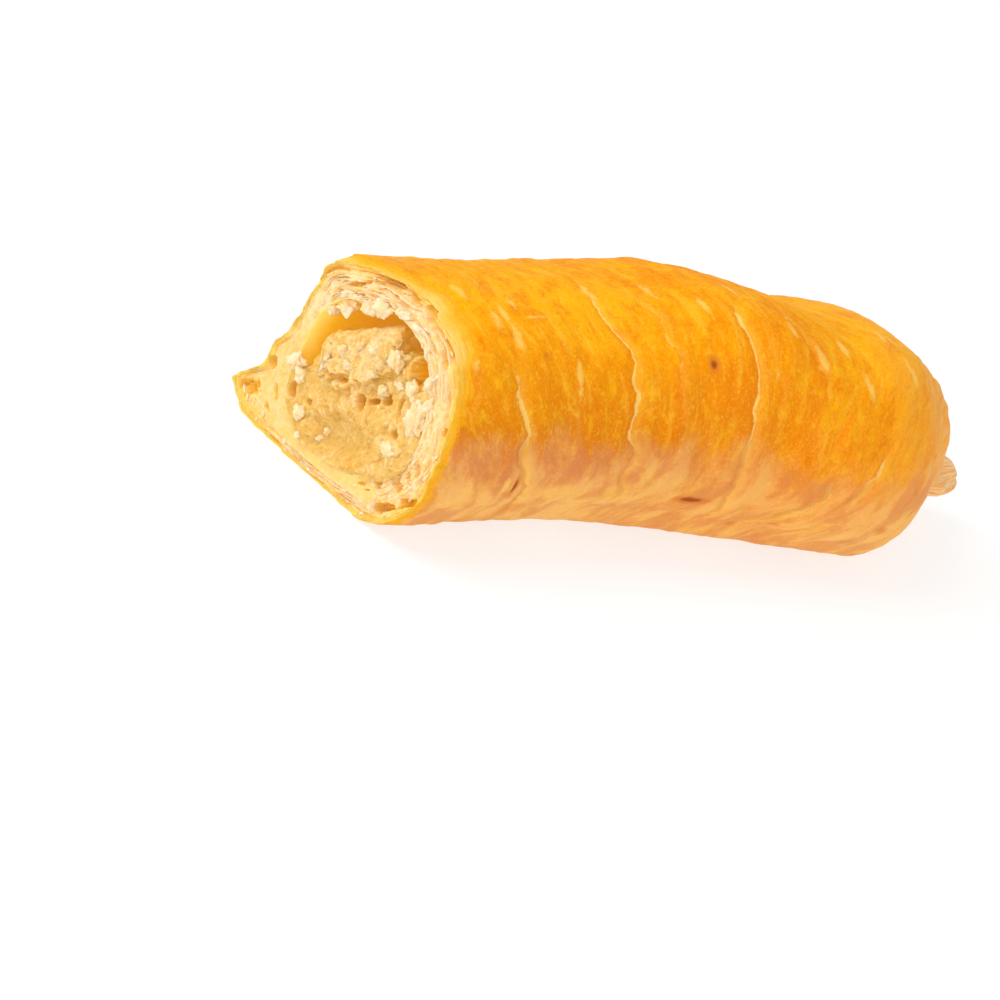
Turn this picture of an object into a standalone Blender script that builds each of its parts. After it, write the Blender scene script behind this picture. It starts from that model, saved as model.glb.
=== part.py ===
"""Half of a baked almond pastry stick, lying on its flat base.

A sleeve of layered pastry is wrapped round a roll of almond filling. One end is tucked
under and closed, with a small tongue of dough low down. At the other end the stick was
broken in two, so the torn layers of the sleeve and the face of the filling show there.
The far bottom edge carries the seam flange, where the sheet of dough was folded over.

+X runs along the stick from the broken end to the tucked end, +Y points to the flange side
and +Z is up. Lengths are in millimetres until a mesh is made.
"""

import itertools
import math

import bpy
import numpy as np

MILLIMETRE = 0.001

# Driving dimensions of the stick.
BULB_LENGTH = 135.2           # from the broken end to where the tucked end has closed
END_START = 103.0             # where the tucked end begins to round off
TONGUE_LENGTH = 12.5          # tongue of dough beyond the tucked end
TONGUE_SHARE = (0.30, 0.22)   # what the closed end keeps of the section's width and height
TONGUE_SIDE = -3.0            # sideways place of the tongue from the stick's middle
TONGUE_LIFT = 5.0             # height of its lower side
TONGUE_ROWS = (0.3, 0.6, 0.85)
END_POWER = (1.55, 2.3)       # roundness of the tucked end in plan and in side view

# Outline of the sleeve across the stick (y, z), from the flange's tip over the top.
SLEEVE_OUTLINE = (
    (32.0, 3.8), (26.0, 10.2), (25.1, 14.4), (21.7, 19.2), (19.4, 28.0), (15.2, 35.4),
    (-5.0, 40.0), (-19.5, 36.6), (-27.5, 26.5), (-29.0, 14.5), (-25.5, 5.2), (-16.0, 0.2),
    (20.0, -0.4))

# Outline of the room inside the sleeve (y, z).
ROOM_OUTLINE = (
    (16.6, 9.0), (17.0, 16.0), (15.0, 25.5), (8.5, 31.0), (-3.0, 34.2), (-13.0, 32.5),
    (-19.0, 26.0), (-20.6, 17.0), (-16.5, 9.0), (-5.0, 5.2), (9.0, 4.2))
ROOM_CENTRE = (-2.0, 18.0)

# The stick bends, swells and sinks along its length:
# place along it, sideways shift, width factor, height factor, lift of the near bottom edge.
STATIONS = np.array((
    (0.0, 0.0, 1.00, 1.00, 2.2),
    (25.0, 3.4, 0.99, 1.01, 3.4),
    (50.0, 5.4, 1.00, 1.03, 4.2),
    (75.0, 4.4, 1.02, 1.08, 3.9),
    (100.0, 2.4, 1.04, 0.96, 2.2),
    (113.0, 4.6, 1.035, 0.96, 0.2),
    (125.0, 8.0, 1.02, 0.93, 3.0)))
NEAR_EDGE = (-26.0, 3.0)      # middle of the near bottom edge (y, z)
NEAR_EDGE_REACH = 9.0
FLANGE_ROOT = 17.0            # the flange lies beyond this side place
FLANGE_SHRINK = 0.75          # share of the flange that is gone at the tucked end
FLANGE_FADE = (70.0, 122.0)   # where along the stick it shrinks

# Cracks across the crust: place along the stick half way round, lean, start and end of the
# stretch as shares of the way round from the flange over the top, and depth.
CRACKS = (
    (17.0, 15.0, 0.44, 0.68, 1.0),
    (44.0, 4.0, 0.33, 0.64, 0.9),
    (69.5, -2.0, 0.36, 0.66, 0.9),
    (96.0, -17.0, 0.52, 0.66, 1.1),
    (102.0, -16.0, 0.48, 0.60, 0.8),
    (87.0, 6.0, 0.27, 0.50, 0.5))
CRACK_WIDTH = 1.7
HALF_WAY = 0.50

# The torn face of the sleeve.
TEAR_BACK_TOP = 4.2           # how far the glazed crust is torn back at the top
TEAR_BACK_LOW = 0.8
TEAR_BACK_ANGLE = (115.0, 52.0)           # its middle and half width, in degrees
TEAR_FADE = 20.0              # the tear no longer bends the surface beyond this
RIM_DROP = 1.0                # how far the flaked crust has sunk at the torn edge
RIM_DROP_REACH = 4.0
# Holes torn between the layers: y, z, radius along the layers, radius across them, depth.
TORN_HOLES = (
    (25.6, 8.6, 2.2, 1.2, 4.0), (26.6, 4.4, 2.6, 1.1, 4.5), (21.4, 7.4, 1.8, 1.1, 3.0),
    (-14.2, 6.2, 2.2, 1.5, 4.0), (-19.2, 9.6, 2.0, 1.5, 3.6), (-16.0, 2.9, 3.4, 1.0, 4.5),
    (-23.4, 7.4, 2.4, 1.2, 4.0), (9.5, 32.5, 2.0, 1.3, 2.5), (-8.5, 37.5, 3.0, 1.0, 2.6))

# The room and the filling in it.
ROOM_TAPER_START = 92.0
ROOM_END = 116.0
CLEARANCE = 0.45              # between the filling and the sleeve
AIR_GAP = 4.9                 # extra room above the filling at the broken end
AIR_GAP_ANGLE = (42.0, 40.0)  # its middle and half width, in degrees round the room
AIR_GAP_DEPTH = (9.0, 26.0)   # where along the stick it begins and ends to close
FILLING_RECESS = (1.0, 3.6)   # depth of the filling's face behind the rim, low and high
FILLING_RECESS_RISE = (12.0, 30.0)
# Holes in the filling's face: y, z, radius, depth.
FILLING_HOLES = (
    (14.6, 11.0, 1.7, 3.0), (-4.4, 17.2, 1.9, 3.4), (-9.7, 21.0, 2.0, 3.2),
    (-0.3, 21.3, 1.8, 2.6), (7.5, 19.0, 1.5, 2.0), (-13.0, 27.6, 2.6, 3.6),
    (1.0, 11.5, 1.4, 1.6))
# Almond pieces that stand out of the face: y, z, radius, height.
FILLING_LUMPS = (
    (-6.9, 26.6, 2.3, 1.8), (-13.0, 24.0, 2.0, 1.6), (-13.8, 14.6, 2.2, 1.4),
    (12.8, 14.8, 2.4, 1.6), (11.0, 8.2, 2.0, 1.3), (3.9, 9.4, 2.0, 1.3),
    (3.5, 25.0, 2.6, 1.5), (-5.0, 12.0, 2.2, 1.2), (6.5, 14.5, 2.0, 1.2))

# How finely the surfaces are divided.
AROUND_SLEEVE = 92
SLEEVE_ROW_STEP = 2.9
END_ROWS = 11
FACE_ROWS = 6
ROOM_STATIONS = (3.0, 8.0, 16.0, 28.0, 60.0, 92.0)
ROOM_END_ROWS = 3
AROUND_FILLING = 56
FILLING_FACE_RINGS = 9
FILLING_STATIONS = (8.0, 14.0, 20.0, 28.0, 60.0, 92.0)

# Colours (linear) and roughness.
CRUST_COLOUR = (0.78, 0.34, 0.06, 1.0)
CRUST_ROUGHNESS = 0.38
FILLING_COLOUR = (0.80, 0.58, 0.24, 1.0)
FILLING_ROUGHNESS = 0.62

LATTICE_STEPS = (374761393, 668265263, 2147483629)
LATTICE_SEED_STEP = 144664633


def smooth_step(value, start, end):
    """Rise smoothly from 0 at start to 1 at end."""
    share = np.clip((value - start) / (end - start), 0.0, 1.0)
    return share * share * (3.0 - 2.0 * share)


def noise(points, seed):
    """Smooth lattice noise between -1 and 1 at an (n, 3) array of points."""
    points = np.asarray(points, dtype=float)
    cell = np.floor(points).astype(np.int64)
    blend = smooth_step(points - cell, 0.0, 1.0)
    total = np.zeros(points.shape[:-1])
    for corner in itertools.product((0, 1), repeat=3):
        key = (cell + corner) @ np.array(LATTICE_STEPS) + seed * LATTICE_SEED_STEP
        key = (key ^ (key >> 13)) & 0xFFFFFFFF
        key = (key * 1274126177) & 0xFFFFFFFF
        key = (key ^ (key >> 16)) & 0xFFFFFFFF
        weight = np.prod(np.where(corner, blend, 1.0 - blend), axis=-1)
        total += weight * (key / 0x7FFFFFFF - 1.0)
    return total


def joined(*columns):
    """Columns of coordinates, numbers or arrays, as one array of points."""
    return np.stack(np.broadcast_arrays(*columns), axis=-1)


def curve_through(place, places, values):
    """A smooth curve through the given values, flat beyond the last one."""
    place = np.clip(place, places[0], places[-1])
    slopes = np.gradient(values, places)
    index = np.clip(np.searchsorted(places, place) - 1, 0, len(places) - 2)
    span = places[index + 1] - places[index]
    share = (place - places[index]) / span
    rise = smooth_step(share, 0.0, 1.0)
    level = values[index] * (1.0 - rise) + values[index + 1] * rise
    start_slope = slopes[index] * span * share * (1.0 - share) ** 2
    end_slope = slopes[index + 1] * span * share ** 2 * (1.0 - share)
    return level + start_slope - end_slope


def closed_spline(points, steps_between=40):
    """A closed smooth curve through the points."""
    points = np.array(points)
    count = len(points)
    place = np.arange(count * steps_between) / steps_between
    index = place.astype(int)
    share = (place - index)[:, None]
    before, start = points[(index - 1) % count], points[index % count]
    end, after = points[(index + 1) % count], points[(index + 2) % count]
    return 0.5 * (2 * start + (end - before) * share
                  + (2 * before - 5 * start + 4 * end - after) * share ** 2
                  + (3 * start - before - 3 * end + after) * share ** 3)


def evenly_spaced(curve, count):
    """Points at equal steps round a closed curve."""
    ring = np.vstack([curve, curve[:1]])
    travelled = np.concatenate([[0.0], np.cumsum(np.linalg.norm(np.diff(ring, axis=0), axis=1))])
    wanted = np.arange(count) * travelled[-1] / count
    return joined(*(np.interp(wanted, travelled, ring[:, axis]) for axis in (0, 1)))


def room_radius(angle):
    """Distance from the room's centre to its wall, for angles in radians."""
    curve = closed_spline(ROOM_OUTLINE) - ROOM_CENTRE
    curve_angle = np.arctan2(curve[:, 1], curve[:, 0])
    order = np.argsort(curve_angle)
    radius = np.linalg.norm(curve, axis=1)
    return np.interp(angle, curve_angle[order], radius[order], period=math.tau)


def angle_round_room(points):
    """Angle of (y, z) points round the room's centre."""
    offset = points - np.array(ROOM_CENTRE)
    return np.arctan2(offset[..., 1], offset[..., 0])


def placed(along, outline, rounding=True):
    """Carry a (y, z) outline to its place along the stick; along has the outline's shape."""
    shift, width, height, lift = (
        curve_through(along, STATIONS[:, 0], STATIONS[:, column]) for column in (1, 2, 3, 4))
    edge_offset = (outline - np.array(NEAR_EDGE)) / NEAR_EDGE_REACH
    near_edge = np.exp(-np.sum(edge_offset ** 2, axis=-1))
    flange = np.maximum(outline[..., 0] - FLANGE_ROOT, 0.0)
    kept_side = outline[..., 0] - FLANGE_SHRINK * flange * smooth_step(along, *FLANGE_FADE)
    side = kept_side * width
    level = np.maximum(outline[..., 1] * height + lift * near_edge, 0.0)
    if rounding:
        share = np.clip((along - END_START) / (BULB_LENGTH - END_START), 0.0, 1.0)
        for_width, for_height = (
            keep + (1.0 - keep) * (1.0 - share ** power) ** (1.0 / power)
            for keep, power in zip(TONGUE_SHARE, END_POWER))
        side = TONGUE_SIDE + (side - TONGUE_SIDE) * for_width
        level = level * for_height + TONGUE_LIFT * share ** 3
    return joined(along, side + shift, level)


def grid_normals(grid):
    """Outward unit normals of a grid of rings."""
    around = np.roll(grid, -1, axis=1) - np.roll(grid, 1, axis=1)
    lengthwise = np.gradient(grid, axis=0)
    normal = np.cross(around, lengthwise)
    outward = grid - grid.mean(axis=1, keepdims=True)
    normal *= np.sign(np.sum(normal * outward))
    return normal / np.maximum(np.linalg.norm(normal, axis=-1, keepdims=True), 1e-9)


def crack_grooves(along, turn):
    """Depth of the cracks at places along the stick and round it."""
    depth = np.zeros(along.shape)
    for middle, lean, start, end, deepest in CRACKS:
        wander = 1.3 * noise(joined(turn * 40.0, middle, 0.0), 5)
        line = middle + lean * (turn - HALF_WAY) / (end - start) + wander
        stretch = smooth_step(turn, start, start + 0.05) * smooth_step(-turn, -end, 0.05 - end)
        depth += deepest * stretch * np.exp(-((along - line) / CRACK_WIDTH) ** 2)
    return depth


def end_folds(along, turn):
    """Uneven folds that run together at the tucked end."""
    direction = joined(np.cos(math.tau * turn), np.sin(math.tau * turn), along / 60.0)
    folds = 1.1 * noise(direction * (3.4, 3.4, 1.0), 14) + 0.5 * noise(direction * 6.5, 15)
    return folds * smooth_step(along, 108.0, 132.0) * smooth_step(-along, -141.0, -136.0)


def crust_relief(grid, along, turn):
    """Height of the crust over its smooth form."""
    height = 0.8 * noise(grid / 34.0, 11) + 0.4 * noise(grid / 13.0, 12)
    height += 0.25 * noise(joined(along / 5.5, turn * 9.0, 0.0), 13)
    height += end_folds(along, turn) - crack_grooves(along, turn)
    return height * smooth_step(grid[..., 2], 0.0, 4.0)


def top_weight(outline):
    """1 where the crust is torn back most, falling off round the broken end."""
    middle, half_width = TEAR_BACK_ANGLE
    angle = np.degrees(angle_round_room(outline))
    return np.exp(-((angle - middle) / half_width) ** 2)


def front_edge(outline):
    """How far the crust is torn back at the points of the sleeve's outline."""
    ragged = 0.55 * noise(joined(*outline.T, 0.0) / 4.5, 21)
    return TEAR_BACK_LOW + (TEAR_BACK_TOP - TEAR_BACK_LOW) * top_weight(outline) + ragged


def layered_relief(outline, share, angle):
    """Recesses of the torn layers at (y, z) points of the sleeve's face."""
    layers = noise(joined(share * 3.4, angle * 4.2, 0.0), 31)
    crumb = noise(joined(*outline.T, 0.0) / 3.1, 32)
    recess = 0.9 * layers + 0.45 * crumb
    for side, level, long_radius, short_radius, depth in TORN_HOLES:
        offset = outline - np.array((side, level))
        turned = angle_round_room(np.array((side, level)))
        outward = offset[..., 0] * math.cos(turned) + offset[..., 1] * math.sin(turned)
        sideways = offset[..., 1] * math.cos(turned) - offset[..., 0] * math.sin(turned)
        recess += depth * np.exp(-(outward / short_radius) ** 2 - (sideways / long_radius) ** 2)
    return recess


def sleeve_rings():
    """Rings of the closed sleeve, from the tongue over the crust and the face into the room."""
    outline = evenly_spaced(closed_spline(SLEEVE_OUTLINE), AROUND_SLEEVE)
    turn = np.arange(AROUND_SLEEVE) / AROUND_SLEEVE
    angle = angle_round_room(outline)
    wall = np.array(ROOM_CENTRE) + room_radius(angle)[:, None] * joined(
        np.cos(angle), np.sin(angle))
    torn = front_edge(outline)

    crust_places = np.arange(0.0, END_START, SLEEVE_ROW_STEP)
    quarter = np.linspace(0.0, math.pi / 2, END_ROWS + 1)
    end_places = END_START + (BULB_LENGTH - END_START) * np.sin(quarter)
    places = np.concatenate([crust_places, end_places])[:, None]
    along = places + torn * np.clip(1.0 - places / TEAR_FADE, 0.0, 1.0)
    turns = np.broadcast_to(turn, along.shape)
    grid = placed(along, np.broadcast_to(outline, along.shape + (2,)))
    height = crust_relief(grid, along, turns)
    height -= RIM_DROP * top_weight(outline) * np.exp(-places / RIM_DROP_REACH)
    crust = grid + grid_normals(grid) * height[..., None]
    crust[..., 2] = np.maximum(crust[..., 2], 0.0)

    tongue = []
    middle = crust[-1].mean(axis=0)
    for share in TONGUE_ROWS:
        ring = middle + (crust[-1] - middle) * (1.0 - share ** 2.5) ** 0.5
        tongue.append(ring + (TONGUE_LENGTH * share, 0.0, 0.0))

    face = []
    rim = crust[0]
    inner_rim = placed(np.zeros(AROUND_SLEEVE), wall, rounding=False)
    for step in range(1, FACE_ROWS + 1):
        share = step / FACE_ROWS
        ring = rim + (inner_rim - rim) * share
        flat = ring[:, 1:]
        fade = math.sin(math.pi * share) ** 0.5 if step < FACE_ROWS else 0.35
        recess = rim[:, 0] * (1.0 - share) ** 1.4 + 1.2 * share
        ring[:, 0] = np.maximum(recess + fade * layered_relief(flat, share, angle), 0.0)
        face.append(ring)

    room = []
    inner_front = face[-1][:, 0]
    quarter = np.linspace(0.0, math.pi / 2, ROOM_END_ROWS + 2)[1:-1]
    room_end = ROOM_TAPER_START + (ROOM_END - ROOM_TAPER_START) * np.sin(quarter)
    for place in np.concatenate([ROOM_STATIONS, room_end]):
        room.append(room_ring(inner_front, place, wall))
    return [*tongue[::-1], *crust[::-1], *face, *room]


def room_taper(place):
    """What the room keeps of its section at a place along the stick."""
    share = np.clip((place - ROOM_TAPER_START) / (ROOM_END - ROOM_TAPER_START), 0.0, 1.0)
    return 0.25 + 0.75 * np.sqrt(1.0 - share ** 2)


def room_ring(front, place, wall):
    """One ring of the room's wall; front is the wall's ragged start at the broken end."""
    along = place + front * max(0.0, 1.0 - place / TEAR_FADE)
    centre = np.array(ROOM_CENTRE)
    outline = centre + (wall - centre) * room_taper(place)
    return placed(along + np.zeros(len(wall)), outline, rounding=False)


def filling_outline(angle, place):
    """Outline of the filling at a place along the stick."""
    middle, half_width = (math.radians(value) for value in AIR_GAP_ANGLE)
    open_top = np.exp(-((angle - middle) / half_width) ** 2)
    closing = 1.0 - smooth_step(place, *AIR_GAP_DEPTH)
    radius = room_radius(angle) - CLEARANCE - AIR_GAP * open_top * closing
    direction = joined(np.cos(angle), np.sin(angle))
    return np.array(ROOM_CENTRE) + radius[:, None] * direction


def filling_relief(points):
    """How far the filling's broken face stands back at (y, z) points."""
    flat = joined(*points.T, 0.0)
    recess = 0.7 * noise(flat / 4.0, 41) + 0.45 * noise(flat / 2.2, 42)
    for side, level, radius, depth in FILLING_HOLES:
        distance = np.linalg.norm(points - (side, level), axis=-1)
        recess += depth * np.exp(-(distance / radius) ** 2)
    for side, level, radius, height in FILLING_LUMPS:
        distance = np.linalg.norm(points - (side, level), axis=-1)
        recess -= height * np.exp(-(distance / radius) ** 4)
    return recess


def filling_rings():
    """Rings of the filling, from the middle of its broken face to its far end."""
    angle = -math.pi + np.arange(AROUND_FILLING) * math.tau / AROUND_FILLING
    centre = np.array(ROOM_CENTRE)
    front_outline = filling_outline(angle, 0.0)
    rings = []
    for step in range(1, FILLING_FACE_RINGS + 1):
        outline = centre + (front_outline - centre) * step / FILLING_FACE_RINGS
        relief = filling_relief(outline) * (1.0 if step < FILLING_FACE_RINGS else 0.4)
        rounded_edge = 1.3 * (step / FILLING_FACE_RINGS) ** 8
        recess = np.interp(outline[:, 1], FILLING_RECESS_RISE, FILLING_RECESS)
        along = np.maximum(recess + relief + rounded_edge, 0.2)
        rings.append(placed(along, outline, rounding=False))
    for place in FILLING_STATIONS:
        outline = filling_outline(angle, place)
        rings.append(placed(place + np.zeros(AROUND_FILLING), outline, rounding=False))
    quarter = np.linspace(0.0, math.pi / 2, ROOM_END_ROWS + 2)[1:-1]
    for share in np.sin(quarter):
        place = ROOM_TAPER_START + (ROOM_END - ROOM_TAPER_START) * share
        outline = centre + (filling_outline(angle, place) - centre) * room_taper(place) * 0.985
        rings.append(placed(place - CLEARANCE + np.zeros(AROUND_FILLING), outline,
                            rounding=False))
    return rings


def closed_mesh(name, rings, first_tip, last_tip, origin):
    """One closed body from rings of equal size, with a tip at each end."""
    count = len(rings[0])
    points = np.vstack([np.vstack(rings), [first_tip, last_tip]]) - origin
    first, last = len(points) - 2, len(points) - 1
    last_ring = (len(rings) - 1) * count
    faces = []
    for index in range(count):
        following = (index + 1) % count
        faces.append((first, following, index))
        faces.append((last, last_ring + index, last_ring + following))
        for ring in range(0, last_ring, count):
            faces.append((ring + index, ring + following,
                          ring + count + following, ring + count + index))
    mesh = bpy.data.meshes.new(name)
    mesh.from_pydata((points * MILLIMETRE).tolist(), [], faces)
    mesh.update()
    if enclosed_volume(mesh) < 0.0:
        mesh.flip_normals()
    mesh.shade_smooth()
    return mesh


def enclosed_volume(mesh):
    """Signed volume, positive where the faces point outwards."""
    mesh.calc_loop_triangles()
    corners = np.array([[mesh.vertices[index].co for index in triangle.vertices]
                        for triangle in mesh.loop_triangles])
    return np.einsum('ij,ij->i', corners[:, 0], np.cross(corners[:, 1], corners[:, 2])).sum() / 6


def material(name, colour, roughness):
    """A plain Principled material."""
    finish = bpy.data.materials.new(name)
    finish.use_nodes = True
    shader = finish.node_tree.nodes['Principled BSDF']
    shader.inputs['Base Color'].default_value = colour
    shader.inputs['Roughness'].default_value = roughness
    shader.inputs['Metallic'].default_value = 0.0
    return finish


def add_piece(name, mesh, finish):
    """Put a mesh into the scene as one named piece."""
    mesh.materials.append(finish)
    bpy.context.scene.collection.objects.link(bpy.data.objects.new(name, mesh))


def main():
    for leftover in list(bpy.data.objects):
        bpy.data.objects.remove(leftover, do_unlink=True)

    sleeve = sleeve_rings()
    everything = np.vstack(sleeve)
    tongue_tip = sleeve[0].mean(axis=0) + (TONGUE_LENGTH * 0.15, 0.0, 0.0)
    lowest = everything.min(axis=0)
    highest = np.maximum(everything.max(axis=0), tongue_tip)
    origin = np.array([(lowest[0] + highest[0]) / 2, (lowest[1] + highest[1]) / 2, lowest[2]])

    room_tip = sleeve[-1].mean(axis=0)
    room_tip[0] = ROOM_END
    add_piece('pastry', closed_mesh('pastry', sleeve, tongue_tip, room_tip, origin),
              material('baked_crust', CRUST_COLOUR, CRUST_ROUGHNESS))

    filling = filling_rings()
    face_middle = filling[0].mean(axis=0)
    far_tip = filling[-1].mean(axis=0)
    far_tip[0] = ROOM_END - 2 * CLEARANCE
    add_piece('almond_filling', closed_mesh('almond_filling', filling, face_middle, far_tip, origin),
              material('almond_filling', FILLING_COLOUR, FILLING_ROUGHNESS))


main()
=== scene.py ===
"""Looks of a broken half of an almond pastry stick.

The form is worked out in the stick's own frame, in millimetres: x runs along the stick from
the broken end, y points to the flange side and z is up from the flat base. "turn" is the share
of the way round the crust, from the flange's tip over the far side, the top, the near side and
the base. "share" is the share of the way through the sleeve, from the crust to the room.
"""

import itertools
import math

import bmesh
import bpy
import numpy as np
from mathutils import Matrix, Vector


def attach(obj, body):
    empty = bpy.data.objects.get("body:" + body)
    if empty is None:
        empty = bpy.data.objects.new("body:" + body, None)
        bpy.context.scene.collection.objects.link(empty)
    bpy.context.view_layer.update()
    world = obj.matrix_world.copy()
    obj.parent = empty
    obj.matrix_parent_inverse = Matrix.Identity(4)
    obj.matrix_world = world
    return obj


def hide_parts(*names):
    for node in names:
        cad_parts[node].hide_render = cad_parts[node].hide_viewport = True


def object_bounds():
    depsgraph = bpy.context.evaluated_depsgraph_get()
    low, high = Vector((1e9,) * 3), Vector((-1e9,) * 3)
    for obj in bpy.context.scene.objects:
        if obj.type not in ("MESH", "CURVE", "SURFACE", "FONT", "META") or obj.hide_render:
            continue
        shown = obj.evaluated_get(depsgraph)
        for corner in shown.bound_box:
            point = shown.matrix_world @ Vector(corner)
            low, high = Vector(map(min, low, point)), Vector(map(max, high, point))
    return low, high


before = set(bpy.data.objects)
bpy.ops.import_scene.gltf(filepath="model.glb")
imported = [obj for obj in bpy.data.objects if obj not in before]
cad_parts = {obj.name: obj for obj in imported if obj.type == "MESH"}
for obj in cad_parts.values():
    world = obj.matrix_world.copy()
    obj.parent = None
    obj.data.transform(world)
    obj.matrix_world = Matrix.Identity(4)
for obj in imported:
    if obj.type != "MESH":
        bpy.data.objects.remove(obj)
cad_low, cad_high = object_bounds()

MILLIMETRE = 0.001

# ---------------------------------------------------------------- form, as in the solids
# Lengths in millimetres, angles in degrees.
BULB_LENGTH = 135.2           # from the broken end to where the tucked end has closed
END_START = 103.0             # where the tucked end begins to round off
TONGUE_LENGTH = 12.5          # tongue of dough beyond the tucked end
TONGUE_SHARE = (0.30, 0.22)   # what the closed end keeps of the section's width and height
TONGUE_SIDE = -3.0            # sideways place of the tongue from the stick's middle
TONGUE_LIFT = 5.0             # height of its lower side
END_POWER = (1.55, 2.3)       # roundness of the tucked end in plan and in side view

# Outline of the sleeve across the stick (y, z), from the flange's tip over the top.
SLEEVE_OUTLINE = (
    (32.0, 3.8), (26.0, 10.2), (25.1, 14.4), (21.7, 19.2), (19.4, 28.0), (15.2, 35.4), (-5.0, 40.0),
    (-19.5, 36.6), (-27.5, 26.5), (-29.0, 14.5), (-25.5, 5.2), (-16.0, 0.2), (20.0, -0.4))

# Outline of the room inside the sleeve (y, z).
ROOM_OUTLINE = (
    (16.6, 9.0), (17.0, 16.0), (15.0, 25.5), (8.5, 31.0), (-3.0, 34.2), (-13.0, 32.5),
    (-19.0, 26.0), (-20.6, 17.0), (-16.5, 9.0), (-5.0, 5.2), (9.0, 4.2))
ROOM_CENTRE = (-2.0, 18.0)

# place along the stick, sideways shift, width factor, height factor, lift of the near edge.
STATIONS = np.array((
    (0.0, 0.0, 1.00, 1.00, 2.2),
    (25.0, 3.4, 0.99, 1.01, 3.4),
    (50.0, 5.4, 1.00, 1.03, 4.2),
    (75.0, 4.4, 1.02, 1.08, 3.9),
    (100.0, 2.4, 1.04, 0.96, 2.2),
    (113.0, 4.6, 1.035, 0.96, 0.2),
    (125.0, 8.0, 1.02, 0.93, 3.0)))
NEAR_EDGE = (-26.0, 3.0)      # the outline's lower near corner (y, z), which is lifted
NEAR_EDGE_REACH = 9.0
FLANGE_ROOT = 17.0            # beyond this side the flange shrinks towards the tucked end
FLANGE_SHRINK = 0.75
FLANGE_FADE = (70.0, 122.0)   # where along the stick it shrinks
LOWEST_SIDE = -28.532         # the least y of the whole stick

# place along the stick half way round, lean, start and end turn, depth.
CRACKS = (
    (17.0, 15.0, 0.44, 0.68, 1.0),
    (44.0, 4.0, 0.33, 0.64, 0.9),
    (69.5, -2.0, 0.36, 0.66, 0.9),
    (96.0, -17.0, 0.52, 0.66, 1.1),
    (102.0, -16.0, 0.48, 0.60, 0.8),
    (87.0, 6.0, 0.27, 0.50, 0.5))
CRACK_WIDTH = 1.7
HALF_WAY = 0.50

TEAR_BACK_TOP = 4.2           # how far the crust is torn back where it is most
TEAR_BACK_LOW = 0.8           # and where it is least
TEAR_BACK_ANGLE = (115.0, 52.0)           # middle and half width of the part torn back most
TEAR_FADE = 20.0              # the torn edge sways the crust's rows up to here
RIM_DROP = 1.0                # how far the torn rim hangs down
RIM_DROP_REACH = 4.0

AIR_GAP = 4.9                 # between the filling and the roof
AIR_GAP_ANGLE = (42.0, 40.0)  # its middle and half width
AIR_GAP_DEPTH = (9.0, 26.0)   # where along the stick it closes
FILLING_RECESS = (1.0, 3.6)   # how far the filling's face stands back, low and high
FILLING_RECESS_RISE = (12.0, 30.0)        # the heights that go with it

# ---------------------------------------------------------------- finer form, only here
# Hairline cracks, in the same way.
HAIRLINES = (
    (53.3, 1.0, 0.33, 0.56, 0.5), (74.6, 2.0, 0.39, 0.53, 0.35), (16.0, -2.0, 0.38, 0.49, 0.35),
    (6.4, -3.2, 0.43, 0.54, 0.35), (29.5, 0.5, 0.46, 0.57, 0.3), (112.0, -5.0, 0.36, 0.50, 0.5),
    (121.0, -8.0, 0.38, 0.56, 0.6), (60.0, 3.0, 0.50, 0.60, 0.3), (36.5, 2.0, 0.05, 0.27, 0.6),
    (88.0, -4.0, 0.04, 0.25, 0.6))

# Pale marks in the glaze: place along the stick, turn, reach along it and round it.
PALE_MARKS = (
    (11.4, 0.356, 0.8, 3.6), (14.8, 0.400, 0.8, 2.6), (17.4, 0.394, 0.7, 2.6),
    (21.1, 0.376, 0.6, 3.0), (25.2, 0.400, 2.6, 0.5), (7.0, 0.445, 0.7, 4.5),
    (18.0, 0.425, 0.8, 3.4), (42.0, 0.353, 0.8, 3.6), (55.5, 0.350, 0.6, 3.4),
    (64.0, 0.376, 0.6, 3.6), (74.0, 0.345, 0.7, 3.4), (81.5, 0.399, 0.7, 2.6),
    (86.6, 0.424, 0.9, 4.0), (94.5, 0.394, 0.8, 3.2), (97.0, 0.438, 0.8, 4.0),
    (108.6, 0.366, 0.6, 3.6), (110.6, 0.420, 0.7, 4.6), (31.0, 0.470, 0.5, 5.0),
    (118.0, 0.440, 0.6, 4.2), (18.2, 0.588, 0.8, 2.6))

# Browned spots in the crust: place along the stick, turn, reach along and round, strength.
BROWN_SPOTS = (
    (61.2, 0.456, 1.3, 1.5, 1.0), (61.6, 0.604, 3.8, 1.0, 1.15), (58.0, 0.556, 5.0, 3.0, 0.30),
    (80.4, 0.559, 6.0, 3.2, 0.34), (67.5, 0.566, 3.0, 1.6, 0.25), (100.0, 0.640, 4.0, 1.6, 0.45),
    (106.0, 0.606, 2.2, 1.3, 0.55), (23.5, 0.447, 0.5, 0.5, 0.9), (89.5, 0.453, 0.35, 0.35, 0.8),
    (92.0, 0.472, 0.35, 0.4, 0.6), (12.5, 0.578, 4.0, 3.4, 0.35), (20.9, 0.592, 0.8, 2.8, 1.15),
    (75.4, 0.652, 1.6, 0.8, 0.6), (82.6, 0.634, 1.8, 0.7, 0.6), (34.0, 0.22, 4.0, 3.0, 0.4),
    (70.0, 0.15, 6.0, 2.4, 0.4), (48.0, 0.82, 9.0, 8.0, 0.4), (92.0, 0.86, 12.0, 7.0, 0.45))

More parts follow.
